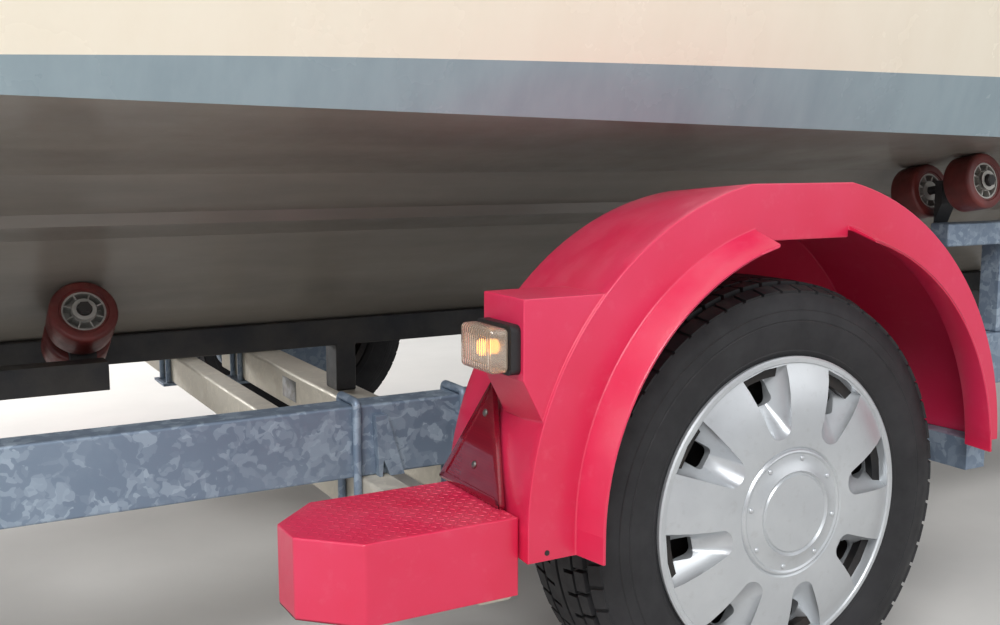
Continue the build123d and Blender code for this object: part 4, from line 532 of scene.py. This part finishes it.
softened = {                                      # edge radius of the plain CAD pieces, metres
    "side_rails": 0.004, "drawbar": 0.008, "cross_tubes": 0.005, "keel_beam": 0.004,
    "axle_tube": 0.006, "winch_post": 0.005, "roller_arms": 0.004, "light_board": 0.004,
    "steps": 0.004, "bow_stop": 0.008, "mudguard_left": 0.0018, "mudguard_right": 0.0018,
    "seat_boxes": 0.004, "dashboard": 0.010, "marker_bases": 0.002, "locker_lid": 0.004,
    "overrun_housing": 0.004, "coupling_head": 0.004, "handbrake": 0.002, "engine_clamp": 0.003,
    "engine_swivel": 0.003, "roller_brackets": 0.001, "rail_clamps": 0.001,
    "front_roller_arms": 0.001, "rear_lamps": 0.003, "jockey_column": 0.001,
    "jockey_fork": 0.001, "windscreen_base": 0.003,
}
# The cross and axle tubes wear the pale zinc, whose paleness is partly painted sunlight.
ownFinish = {"hull": "hullPaint", "rear_lamps": "tail_lens", "cross_tubes": "pale_zinc_with_painted_sun",
             "axle_tube": "pale_zinc_with_painted_sun"}           # the other nodes take the finish of their slot
slotOf = {row["node"]: row["material_slot"] for row in frame["record"]["subparts"]}
for nodeName, node in frame["nodes"].items():
    material = materials[ownFinish.get(nodeName, slotOf[nodeName])]
    for place in node.material_slots:
        place.link = "OBJECT"
        place.material = material
    if nodeName in softened:
        weld = node.modifiers.new("Weld", "WELD")
        weld.merge_threshold = 0.00001
        soft = node.modifiers.new("Softened", "BEVEL")
        soft.width = softened[nodeName]
        soft.segments = 3
        soft.limit_method = "ANGLE"
        soft.angle_limit = math.radians(40)
        soft.harden_normals = True
print("CAD nodes dressed")

shot = dict(place=(0.4716, 2.0564, 0.7501), heading=29.22, dip=7.89, lens=40.48)
studioLights = [                                  # name, place, aim, size, watts
    ("key", (2.6, 4.2, 4.4), (-0.3, 0.9, 0.5), 2.4, 270),
    ("fill", (-3.5, 4.5, 2.4), (-0.5, 0.6, 0.5), 3.5, 60),
    ("low", (1.6, 4.6, 1.5), (-0.2, 0.6, 0.5), 2.0, 14),
    ("back", (-1.0, -4.5, 3.4), (0.0, 0.0, 0.8), 4.0, 150),
    ("bow", (5.5, 0.5, 3.4), (0.5, 0.0, 0.9), 3.0, 90),
    ("under", (1.3, -3.4, 1.25), (-0.25, 0.15, 0.25), 0.8, 90),
]
sky = dict(colour=(0.93, 0.95, 1.0, 1.0), strength=0.36)


def looking(ray):                                 # the turn of a camera or a light along a ray
    return ray.to_track_quat("-Z", "Y").to_euler()


def setCamera():
    heading, dip = math.radians(shot["heading"]), math.radians(shot["dip"])
    ray = Vector((-math.sin(heading) * math.cos(dip), -math.cos(heading) * math.cos(dip),
                  -math.sin(dip)))
    bpy.ops.object.camera_add(location=shot["place"], rotation=looking(ray))
    camera = bpy.context.object
    camera.data.lens = shot["lens"]
    camera.data.sensor_width = 36
    camera.data.clip_start = 0.02
    bpy.context.scene.camera = camera


def setLight():
    for name, place, aim, size, watts in studioLights:
        turn = looking(Vector(aim) - Vector(place))
        bpy.ops.object.light_add(type="AREA", location=place, rotation=turn)
        light = bpy.context.object
        light.name = name
        light.data.size = size
        light.data.energy = watts
    world = bpy.data.worlds.new("studio")
    bpy.context.scene.world = world
    world.use_nodes = True
    back = world.node_tree.nodes["Background"]
    back.inputs["Color"].default_value = sky["colour"]
    back.inputs["Strength"].default_value = sky["strength"]


def setFloor():
    bpy.ops.mesh.primitive_plane_add(size=40, location=(0, 0, -0.0005))
    floor = bpy.context.object
    floor.name = "studioFloor"
    mat, tree, shader, place = startMaterial(floor.name)
    grain = graded(tree, noise(tree, place, 3, 4), 0.3, 0.7)
    colour = mixed(tree, grain, tint(214, 212, 208), tint(206, 204, 200))
    setInputs(tree, shader, {"Base Color": colour, "Roughness": 0.85})
    floor.data.materials.append(mat)


setCamera()
setLight()
setFloor()
bpy.context.scene.view_settings.view_transform = "Standard"
print("camera, light and floor set")

# Road tyre: half of its section from the bead to the shoulder, then the tread's rings of points
# towards the middle. Each row of blocks is its two rings and its shift round, in pitches.
tyre = dict(
    side=[(0.0717, 0.1803), (0.0722, 0.1935), (0.0790, 0.1955), (0.0850, 0.2030), (0.0872, 0.2075),
          (0.0868, 0.2090), (0.0905, 0.2200), (0.0922, 0.2330), (0.0925, 0.2455), (0.0915, 0.2470),
          (0.0922, 0.2485), (0.0908, 0.2600), (0.0895, 0.2612), (0.0894, 0.2628), (0.0868, 0.2720),
          (0.0815, 0.2815)],
    tread=[0.0640, 0.0590, 0.0390, 0.0340, 0.0155, 0.0030], treadBase=0.2895,
    crownFrom=0.03, crownFall=0.05, pitches=58, cells=6, sweep=0.045,
    shoulderRows=[(0.0640, 0.0815, 0.0)], shoulderDepth=0.0036,
    treadRows=[(0.0390, 0.0590, 0.5), (0.0155, 0.0340, 0.0)], treadDepth=0.0068,
    sweptFrom=0.27, blocksFrom=0.2835, ribFrom=0.287,
)


def roadTyre():
    crown = [(y, tyre["treadBase"] - max(0, y - tyre["crownFrom"]) * tyre["crownFall"])
             for y in tyre["tread"]]
    half = tyre["side"] + crown
    profile = half + [(-y, r) for y, r in reversed(half)]
    obj = freezePlace(turned(profile, tyre["pitches"] * tyre["cells"], portWheel))
    shoulder = tyre["side"][-1][0]
    for ring in [shoulder] + tyre["tread"][:-1]:  # sweep the rings back, so the cross grooves slant
        openMesh(obj, "DESELECT", "VERT")
        closeMesh()
        for vert in obj.data.vertices:
            away = vert.co - portWheel
            vert.select = (abs(abs(away.y) - ring) < 0.0002
                           and math.hypot(away.x, away.z) > tyre["sweptFrom"])
        bpy.ops.object.mode_set(mode="EDIT")
        bpy.ops.transform.rotate(value=tyre["sweep"] * ring / shoulder, orient_axis="Y",
                                 center_override=portWheel)
        closeMesh()

    def inBlock(middle, rows):
        away = middle - portWheel
        if math.hypot(away.x, away.z) < tyre["blocksFrom"]:
            return False
        for low, high, shift in rows:
            if low < abs(away.y) < high:
                lag = tyre["sweep"] * (low + high) / 2 / shoulder
                turn = (math.atan2(away.x, away.z) - lag) / math.tau * tyre["pitches"]
                return (turn + shift + 0.02) % 1.0 > 1.0 / tyre["cells"]
        return False

    def inRib(middle, normal):                    # the continuous rib in the middle
        return (tyre["tread"][-1] < abs(middle.y - wheelY) < tyre["tread"][-2]
                and math.hypot(middle.x - axleX, middle.z - axleZ) > tyre["ribFrom"]
                and abs(normal.y) < 0.4)

    for kind in ("shoulder", "tread"):
        rows = tyre[kind + "Rows"]
        raised(obj, lambda middle, normal: inBlock(middle, rows), tyre[kind + "Depth"])
    raised(obj, inRib, tyre["treadDepth"])
    return obj


# Wheel trim: its section from the middle of the back out, round and in to the middle of the face.
# Each vent is a scoop in the face and a window through it behind the rim.
trim = dict(
    face=[(0.1104, 0.0), (0.1104, 0.0300), (0.1102, 0.0500), (0.1082, 0.0518), (0.1082, 0.0532),
          (0.1108, 0.0560), (0.1096, 0.0590), (0.1058, 0.0660), (0.1052, 0.0770), (0.1068, 0.0795),
          (0.1062, 0.0815), (0.1034, 0.0838), (0.1050, 0.0862), (0.1054, 0.1000), (0.1046, 0.1150),
          (0.1028, 0.1350), (0.0994, 0.1560), (0.0940, 0.1760), (0.0890, 0.1880), (0.0884, 0.1918),
          (0.0902, 0.1935), (0.0902, 0.1985), (0.0885, 0.2008), (0.0850, 0.2010), (0.0740, 0.1960),
          (0.0610, 0.1925), (0.0610, 0.0)],
    vents=8, firstVent=12.0, innerRadius=0.117, innerHalf=0.0180, outerRadius=0.1885,
    outerHalf=0.0365, outerPoint=0.004, ventAt=0.0892, rise=0.0140, lean=12.5,
    top=0.0180, scoopDepth=0.0250, scoopSlide=0.010, scoopSteps=4, squeeze=0.062, squeezeAt=0.78,
    window=(0.034, 0.030, 0.060), windowAt=0.046, windowCorner=0.009,
    bossRadius=0.0715, bossAt=0.1054, bossSize=0.0036,
)


def ventAngle(i):
    return math.radians(trim["firstVent"] + i * 360 / trim["vents"])


def atVents(model):
    # One copy of the cutter at each vent, tipped with the dome of the face.
    place = Matrix.Translation((axleX, wheelY + trim["ventAt"] + trim["rise"], axleZ))
    stand = Matrix(((0, 1, 0), (0, 0, 1), (1, 0, 0))).to_4x4()
    tipped = Matrix.Rotation(math.radians(trim["lean"]), 4, (0, 1, 0))
    out = Matrix.Translation((trim["innerRadius"], 0, 0)) @ tipped
    cutters = []
    for i in range(trim["vents"]):
        spin = Matrix.Rotation(ventAngle(i), 4, (0, 0, 1))
        cutters.append(moved(copied(model), place @ stand @ spin @ out))
    bpy.data.objects.remove(model)
    whole = joined(cutters)
    tidyNormals(whole)
    return whole


def windowCutter():
    model = slab(trim["window"], (0, 0, 0), 0)
    openMesh(model, "DESELECT", "EDGE")
    closeMesh()
    for line in model.data.edges:                 # round the four upright edges
        first, second = [model.data.vertices[i].co for i in line.vertices]
        line.select = abs(first.z - second.z) > 0.01
    bpy.ops.object.mode_set(mode="EDIT")
    bpy.ops.mesh.bevel(offset=trim["windowCorner"], segments=4)
    closeMesh()
    moved(model, Matrix.Translation((trim["windowAt"], 0, -trim["window"][2] / 2)))
    return atVents(model)


def ventCutter():
    # A rounded wedge, wider towards the rim: its outline lies in the wheel's plane.
    bpy.ops.mesh.primitive_circle_add(vertices=28, radius=trim["innerHalf"], fill_type="NGON",
                                      location=(0, 0, 0))
    obj = bpy.context.object
    reach = trim["outerRadius"] - trim["innerRadius"]
    for vert in obj.data.vertices:                # the outer half runs out to the rim ring
        if vert.co.x > -0.0001:
            side = 0 if abs(vert.co.y) < 0.0002 else math.copysign(1, vert.co.y)
            vert.co.y = side * trim["outerHalf"]
            vert.co.x = reach + (0.0 if side else trim["outerPoint"])
    openMesh(obj, kind="VERT")
    bpy.ops.mesh.remove_doubles(threshold=0.0004)
    bpy.ops.mesh.select_all(action="SELECT")
    bpy.ops.transform.translate(value=(0, 0, trim["top"]))
    pushed((0, 0, -trim["top"]))
    steps = trim["scoopSteps"]
    for i in range(steps):                        # curve the walls inwards as they go down
        pushed((trim["scoopSlide"] / steps, 0, -trim["scoopDepth"] / steps))
        squeeze = 1 - trim["squeeze"] * (i + 1)
        bpy.ops.transform.resize(value=(squeeze, squeeze, 1),
                                 center_override=(reach * trim["squeezeAt"], 0, 0))
    closeMesh()
    tidyNormals(obj)
    return atVents(obj)


def wheelTrim():
    obj = freezePlace(turned(trim["face"], 96, portWheel, closed=False))
    carved(obj, ventCutter())
    carved(obj, windowCutter())
    bosses = []
    for i in range(trim["vents"]):
        angle = ventAngle(i + 0.5)
        spot = (axleX + trim["bossRadius"] * math.sin(angle), wheelY + trim["bossAt"],
                axleZ + trim["bossRadius"] * math.cos(angle))
        bosses.append(ball(trim["bossSize"], spot, (1, 0.8, 1)))
    return joined([obj] + bosses)


leftTyre = finished(roadTyre(), "tyre_port", "tyre", angle=30, body="wheel_left")
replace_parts(leftTyre, "tyre_left")
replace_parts(toStarboard(leftTyre, "wheel_right"), "tyre_right")
leftTrim = finished(wheelTrim(), "wheel_trim_port", "wheel_trim", angle=32, body="wheel_left")
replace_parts(leftTrim, "hubcap_left")
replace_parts(toStarboard(leftTrim, "wheel_right"), "hubcap_right")
print("road wheels made")

# Hull rollers: a red tyre on a grey spoked hub, in pairs that lie against the hull's bottom. The
# lip is a step in the tyre's side beside the hub: its depth, and its two heights over the hub.
roller = dict(radius=0.052, half=0.029, round=0.0065, hub=0.0335, boss=0.0190, bore=0.0086,
              wall=0.003, lip=(0.002, 0.003, 0.0045), hubIn=0.003, spokes=8, spoke=0.0026,
              recess=0.020)
washer = dict(inner=0.0120, outer=0.0186, near=0.0035, far=0.0047, chamfer=0.0004)
rollerPairs = [                                   # ahead of the axle, outer roller's contact, pitch
    (0.730, 0.174, 0.086), (-0.800, 0.628, 0.125), (-1.560, 0.628, 0.125), (-1.667, 0.174, 0.086),
]
hullBottom = dict(                                # straight run aft: ahead, keel, knuckle, chine
    rear=(-2.040, 0.441, 0.460, 0.722, 0.785, 0.757),
    front=(0.900, 0.441, 0.460, 0.726, 0.790, 0.813), flatHalf=0.018,
)


def bottomZ(distance, y):
    rear, front, flat = hullBottom["rear"], hullBottom["front"], hullBottom["flatHalf"]
    share = (distance - rear[0]) / (front[0] - rear[0])
    keel, knuckleY, knuckleZ, chineY, chineZ = [
        rear[i] + share * (front[i] - rear[i]) for i in range(1, 6)
    ]
    if y <= knuckleY:
        return keel + (knuckleZ - keel) * (y - flat) / (knuckleY - flat)
    return knuckleZ + (chineZ - knuckleZ) * (y - knuckleY) / (chineY - knuckleY)


def rollerPlaces(count=2):
    places = []
    reach = roller["radius"] + contactGap
    for distance, y, pitch in rollerPairs:
        foot = bottomZ(distance, y)
        slope = math.atan2(bottomZ(distance, y + 0.01) - foot, 0.01)
        for i in range(count):
            middle = (ahead(distance), y + reach * math.sin(slope) - i * pitch * math.cos(slope),
                      foot - reach * math.cos(slope) - i * pitch * math.sin(slope))
            places.append(Matrix.Translation(middle) @ Matrix.Rotation(slope, 4, "X"))
    return places


def rollerTyre():
    half, edge, radius, hub = [roller[key] for key in ("half", "round", "radius", "hub")]
    corner = [(half - edge + edge * math.sin(a), radius - edge + edge * math.cos(a))
              for a in [math.radians(d) for d in (0, 22, 45, 68, 90)]]
    sunk, inner, outer = roller["lip"]
    side = corner + [(half, hub + outer), (half - sunk, hub + inner), (half - sunk, hub)]
    return turned([(-y, r) for y, r in reversed(side)] + side, 56)


def rollerHub():
    half, hub, boss, bore = [roller[key] for key in ("half", "hub", "boss", "bore")]
    half -= roller["hubIn"]
    web, ring = half - roller["recess"], hub - roller["wall"]
    side = [(web, boss), (half, boss), (half, bore), (-half, bore), (-half, boss), (-web, boss),
            (-web, ring), (-half, ring), (-half, hub), (half, hub), (half, ring), (web, ring)]
    parts = [turned(side, 40)]
    reach = (boss + ring) / 2
    for i in range(roller["spokes"]):
        angle = (i + 0.5) * math.tau / roller["spokes"]
        parts.append(slab((roller["spoke"], 2 * half - 0.002, hub - boss),
                          (reach * math.sin(angle), 0, reach * math.cos(angle)),
                          0.0005, 1, (0, angle, 0)))
    return joined([freezePlace(part) for part in parts])


def rollerWasher():
    near, far = roller["half"] + washer["near"], roller["half"] + washer["far"]
    return turned([(near, washer["inner"]), (near, washer["outer"]),
                   (far, washer["outer"] - washer["chamfer"]), (far, washer["inner"])], 36)


def rollerSet(model, name, finishName, count=2):
    freezePlace(model)
    parts = []
    for place in rollerPlaces(count):
        for side in (1, -1):
            twin = moved(copied(model), place)
            if side < 0:                          # the other side is the same roller, turned over
                moved(twin, Matrix.Rotation(math.pi, 4, "Z") @ Matrix.Scale(-1, 4, (1, 0, 0)))
                twin.data.flip_normals()
            parts.append(twin)
    bpy.data.objects.remove(model)
    return finished(joined(parts), name, finishName, 38)


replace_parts(rollerSet(rollerTyre(), "roller_tyres", "roller"), "hull_rollers")
rollerSet(rollerHub(), "roller_hubs", "roller_hub")
rollerSet(rollerWasher(), "roller_washers", "roller_hub", 1)
print("hull rollers made")

# Marker lamp on the guard: a clear box lens over a dish and a lit bulb
marker = dict(x=ahead(0.4003), y=0.970, z=0.540, width=0.080, height=0.056, base=0.012, lens=0.024,
              shoulder=0.003, edge=0.004, sunk=0.0012, wall=0.0016, dishIn=0.008, bulb=0.0085)


def markerLamp():
    front = marker["x"] + marker["base"]
    y, z, width, height, lens = [marker[key] for key in ("y", "z", "width", "height", "lens")]
    inset = 2 * marker["shoulder"]
    shell = slab((lens, width - inset, height - inset), (front + lens / 2, y, z), 0.006, 4)
    freezePlace(shell)
    selectFaces(shell, lambda middle, normal: normal.x > 0.99)
    bpy.ops.mesh.inset(thickness=marker["edge"])
    pushed((-marker["sunk"], 0, 0))
    closeMesh()
    selectFaces(shell, lambda middle, normal: normal.x < -0.99)
    bpy.ops.mesh.delete(type="FACE")
    closeMesh()
    withModifier(shell, "SOLIDIFY", thickness=marker["wall"], offset=-1)
    inset = 2 * marker["dishIn"]
    dish = slab((0.003, width - inset, height - inset), (front + 0.002, y, z), 0.001)
    bulb = ball(marker["bulb"], (front + lens / 2, y, z), (1.0, 0.8, 1.15), 20, 12)
    return shell, dish, bulb


markerPieces = [("lens", "clear_lens", "clear_lens"), ("dish", "stainless", "stainless"),
                ("bulb", "amber", "clear_lens")]
for obj, (name, finishName, slotName) in zip(markerLamp(), markerPieces):
    port = finished(obj, "marker_" + name + "_port", finishName)
    starboard = toStarboard(port)
    if name == "lens":
        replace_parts(port, "marker_lenses")
        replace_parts(starboard, "marker_lenses")

# Triangular reflectors: one leaning on the guard's front, a smaller one on the light board
reflector = dict(side=0.160, thick=0.007, lean=14.0, foot=(ahead(0.3985), 0.892, 0.3483),
                 border=0.009, sunk=0.0016, corner=0.006, screws=(0.034, 0.098), screw=0.0048,
                 rearFoot=(0.400, 0.336104), rearScale=0.72)


def triangle(side, thick, border):
    # Lies in XY with its foot along X, its top along +Y and its face up +Z.
    bpy.ops.mesh.primitive_circle_add(vertices=3, radius=side / math.sqrt(3), fill_type="NGON",
                                      location=(0, 0, 0))
    obj = freezePlace(bpy.context.object)
    lowest = min(vert.co.y for vert in obj.data.vertices)
    moved(obj, Matrix.Translation((0, -lowest, 0)))
    withModifier(obj, "BEVEL", width=reflector["corner"], segments=4, affect="VERTICES")
    openMesh(obj)
    pushed((0, 0, thick))
    bpy.ops.mesh.inset(thickness=border)
    pushed((0, 0, -reflector["sunk"]))
    closeMesh()
    tidyNormals(obj)
    withModifier(obj, "BEVEL", width=0.0008, segments=2, limit_method="ANGLE")
    return obj


def reflectorPieces():
    lean = math.radians(reflector["lean"])
    front = standing((0, 1, 0), (math.cos(lean), 0, math.sin(lean)), reflector["foot"])
    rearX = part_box("light_board")[0][0] - contactGap
    rear = standing((0, -1, 0), (-1, 0, 0), (rearX, *reflector["rearFoot"]))
    plates, screws = [], []
    for place, scale in ((front, 1.0), (rear, reflector["rearScale"])):
        plate = triangle(reflector["side"] * scale, reflector["thick"], reflector["border"] * scale)
        plates.append(moved(plate, place))
        for height in reflector["screws"]:
            spot = (0, height * scale, reflector["thick"] - 0.001)
            head = freezePlace(ball(reflector["screw"], spot, (1, 1, 0.5), 16, 8))
            screws.append(moved(head, place))
    return joined(plates), joined(screws)


plates, screws = reflectorPieces()
plates = finished(plates, "reflectors_port", "red_lens", angle=35)
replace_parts(plates, "reflectors")
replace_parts(toStarboard(plates), "reflectors")
screws = finished(screws, "reflector_screws_port", "bolt_steel", 50)
toStarboard(screws)

# Studs on the step, turned left and right by turns and worn down towards its front edge
step = dict(rear=ahead(0.396) + contactGap, length=0.245, inner=0.830, outer=1.000, top=0.348,
            chamfer=0.058, pitch=0.0092, stud=(0.0037, 0.0011, 0.0008), margin=0.006, worn=0.75)


def onStep(x, y):
    inner, outer, margin = step["inner"], step["outer"], step["margin"]
    cut = step["chamfer"] - (step["length"] - margin - x)
    if x > step["length"] - margin or y > outer - margin:
        return False
    return cut <= 0 or inner + cut <= y <= outer - cut


def stepTread():
    bpy.ops.mesh.primitive_ico_sphere_add(subdivisions=2, radius=1, location=(0, 0, 0),
                                          scale=step["stud"])
    stud = freezePlace(bpy.context.object)
    studs = []
    for i in range(int(step["length"] / step["pitch"]) + 1):
        for j in range(int((step["outer"] - step["inner"]) / step["pitch"]) + 1):
            x = step["margin"] + i * step["pitch"]
            y = step["inner"] + step["margin"] + j * step["pitch"]
            if onStep(x, y):
                place = Matrix.Translation((step["rear"] + x, y, step["top"]))
                turn = Matrix.Rotation(math.radians(45 if (i + j) % 2 else -45), 4, "Z")
                left = Matrix.Scale(1 - step["worn"] * x / step["length"], 4, (0, 0, 1))
                studs.append(moved(copied(stud), place @ turn @ left))
    bpy.data.objects.remove(stud)
    return joined(studs)


tread = finished(stepTread(), "step_tread_port", "red_moulding", angle=60)
toStarboard(tread)
print("lamps, reflectors and treads made")

# Padded seats: the crown swells in three panels between two seams, with piping round its edge
pads = dict(cuts=47, seam=1 / 3, crown=0.016, round=0.28, pipe=0.0032)
seatPads = [                                      # name, size, foot centre, lean or None if lying
    ("seat_pad_port", (0.440, 0.440, 0.110), (ahead(-0.040), 0.320, 1.0529), None),
    ("seat_pad_starboard", (0.440, 0.440, 0.110), (ahead(-0.040), -0.320, 1.0529), None),
    ("seat_back_port", (0.400, 0.440, 0.095), (ahead(-0.2603), 0.320, 1.0729), 12.0),
    ("seat_back_starboard", (0.400, 0.440, 0.095), (ahead(-0.2603), -0.320, 1.0729), 12.0),
]
benchPads = [
    ("bench_pad", (0.400, 1.070, 0.110), (ahead(-0.916), 0.0, 1.0379), None),
    ("bench_back", (0.300, 1.070, 0.080), (ahead(-1.036), 0.0, 1.1485), 0.0),
]


def piping(size, corner, height):
    bpy.ops.mesh.primitive_plane_add(size=1)
    obj = bpy.context.object
    obj.scale = (size[0], size[1], 1)
    freezePlace(obj)
    withModifier(obj, "BEVEL", width=corner, segments=7, affect="VERTICES")
    openMesh(obj)
    bpy.ops.mesh.delete(type="ONLY_FACE")
    closeMesh()
    bpy.ops.object.convert(target="CURVE")
    line = bpy.context.object
    line.data.bevel_depth = pads["pipe"]
    line.data.bevel_resolution = 3
    bpy.ops.object.convert(target="MESH")
    return moved(bpy.context.object, Matrix.Translation((0, 0, height)))


def pad(size):
    # A rounded block with its foot at zero, made from a cube whose points slide out to its faces.
    bpy.ops.mesh.primitive_cube_add(size=2)
    obj = bpy.context.object
    openMesh(obj)
    bpy.ops.mesh.subdivide(number_cuts=pads["cuts"])
    closeMesh()
    edge = size[2] * pads["round"]
    half = [size[0] / 2, size[1] / 2, (size[2] - pads["crown"]) / 2]
    panelWidth = 2 * pads["seam"]
    for vert in obj.data.vertices:
        share = vert.co.copy()
        flat = Vector([half[i] * math.sin(share[i] * math.pi / 2) for i in range(3)])
        inner = Vector([max(edge - half[i], min(half[i] - edge, flat[i])) for i in range(3)])
        point = inner + (flat - inner).normalized() * edge
        across = (share.y - round(share.y / panelWidth) * panelWidth) / pads["seam"]
        swell = max(0.0, 1 - across * across) ** 0.7 * max(0.0, 1 - share.x ** 6)
        if share.z > 0:
            point.z += pads["crown"] * swell * share.z
        point.z += half[2]
        vert.co = point
    loop = piping((size[0] - edge * 0.5, size[1] - edge * 0.5), edge * 1.2,
                  2 * half[2] - edge * 0.27)
    return obj, loop


def seatPiece(name, size, foot, lean, node):
    obj, loop = pad(size)
    place = Matrix.Translation(foot)
    if lean is not None:                          # stood up, with its crown facing ahead
        turn = math.radians(lean)
        up = Vector((-math.sin(turn), 0, math.cos(turn)))
        facing = Vector((math.cos(turn), 0, math.sin(turn)))
        place = standing(up, facing, Vector(foot) + up * size[0] / 2 - facing * size[2])
    moved(obj, place)
    finished(obj, name, "vinyl", angle=50)
    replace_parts(obj, node)
    return moved(loop, place)


loops = [seatPiece(*row, "seat_cushions") for row in seatPads]
loops += [seatPiece(*row, "bench_cushions") for row in benchPads]
finished(joined(loops), "seat_piping", "rub_strake", angle=50)
print("padded seats made")

# Dials on the dash: places across it with their radii. The face is a point on the dash's slope,
# ahead of the axle and up, with the slope's run for each metre of height. The small fittings
# follow it, each with its place in the frame.
dials = dict(places=[(-0.455, 0.038), (-0.330, 0.048), (-0.205, 0.038)], height=1.322,
             face=(0.520, 1.200, 0.1543), rim=0.0038, ticks=11, sweep=260)
switchRow = dict(count=6, first=0.02, pitch=0.032, height=1.300, size=(0.010, 0.022, 0.034))
throttle = dict(place=(ahead(0.240), -0.668, 1.255), box=(0.120, 0.060, 0.110),
                armWay=(-0.26, 0, 1))
filler = dict(place=(ahead(-1.300), 0.765, 1.3566), flange=0.040, cap=0.028)
navLight = dict(place=(ahead(2.960), 0.0235, 1.5326), size=(0.046, 0.004, 0.030))
blankPlates = dict(number=(0.003, 0.520, 0.110), numberZ=0.386, maker=(0.0014, 0.086, 0.044),
                   makerAt=(ahead(0.259), -0.205, 0.262))
drainPlug = dict(place=(-0.1687, 1.0200, 0.308), radius=0.0032, thick=0.0012)


def dashX(height):
    distance, level, slope = dials["face"]
    return ahead(distance + (height - level) * slope)


def dialSet():
    tip = math.atan(dials["face"][2])
    rims, faces, marks = [], [], []
    for y, radius in dials["places"]:
        stand = (Matrix.Translation((dashX(dials["height"]), y, dials["height"]))
                 @ Matrix.Rotation(-math.pi / 2 + tip, 4, "Y"))
        bpy.ops.mesh.primitive_torus_add(major_radius=radius, minor_radius=dials["rim"],
                                         major_segments=48, minor_segments=12)
        rims.append(moved(bpy.context.object, stand @ Matrix.Translation((0, 0, 0.003))))
        faces.append(moved(freezePlace(rod(radius, 0.004, (0, 0, 0.001), (0, 0, 1), 48, 0)), stand))

        def mark(size, turn, reach, height):      # a bar on the face, pointing out from its middle
            bar = freezePlace(slab(size, (0, 0, 0), 0))
            spin = Matrix.Rotation(math.radians(turn), 4, "Z")
            marks.append(moved(bar, stand @ spin @ Matrix.Translation((reach, 0, height))))

        start = -dials["sweep"] / 2
        for i in range(dials["ticks"]):
            turn = start + dials["sweep"] * i / (dials["ticks"] - 1)
            mark((radius * 0.16, 0.0014, 0.0006), turn, radius * 0.80, 0.0034)
        mark((radius * 0.74, 0.0022, 0.001), start, radius * 0.33, 0.0042)    # the needle
    return joined(rims), joined(faces), joined(marks)


def beside(spot, x, y, z):
    return (spot[0] + x, spot[1] + y, spot[2] + z)


rims, faces, marks = dialSet()
finished(rims, "dial_rims", "stainless")
finished(faces, "dial_faces", "engine_paint")
finished(marks, "dial_marks", "deck_gelcoat")

switches = []
for i in range(switchRow["count"]):
    spot = (dashX(switchRow["height"]) - 0.003, switchRow["first"] + i * switchRow["pitch"],
            switchRow["height"])
    switches.append(slab(switchRow["size"], spot, 0.003, 3))
finished(joined(switches), "dash_switches", "grey_rim")

spot = throttle["place"]
box = slab(throttle["box"], spot, 0.014, 4)
arm = rod(0.009, 0.190, beside(spot, -0.025, 0.040, 0.100), throttle["armWay"], 20, 0.002)
pivot = rod(0.022, 0.030, beside(spot, 0, 0.036, 0.010), (0, 1, 0), 28, 0.003)
grip = rod(0.016, 0.090, beside(spot, -0.048, 0.060, 0.194), (0, 1, 0), 24, 0.006)
finished(joined([box, pivot, grip]), "throttle_box", "black_plastic")
finished(arm, "throttle_arm", "stainless")

spot = filler["place"]
flange = rod(filler["flange"], 0.005, beside(spot, 0, 0, 0.0025), (0, 0, 1), 40, 0.0015)
cap = rod(filler["cap"], 0.005, beside(spot, 0, 0, 0.0065), (0, 0, 1), 36, 0.0015)
bar = slab((0.040, 0.007, 0.005), beside(spot, 0, 0, 0.0105), 0.0015)
finished(joined([flange, cap, bar]), "fuel_filler", "stainless")

for side, finishName, name in ((1, "red_lens", "port"), (-1, "green_lens", "starboard")):
    x, y, z = navLight["place"]
    lens = slab(navLight["size"], (x, side * y, z), 0.0015, 3)
    finished(lens, "bow_lens_" + name, finishName)

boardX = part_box("light_board")[0][0]
plate = slab(blankPlates["number"], (boardX - 0.0018, 0.0, blankPlates["numberZ"]), 0.001)
finished(plate, "number_plate_blank", "deck_gelcoat")
maker = slab(blankPlates["maker"], blankPlates["makerAt"], 0.0004)
finished(maker, "type_plate_blank", "bolt_steel")
plug = rod(drainPlug["radius"], drainPlug["thick"], drainPlug["place"], (0, 1, 0), 18, 0)
toStarboard(finished(plug, "drain_plug_port", "rubber"))
print("dials and small fittings made")
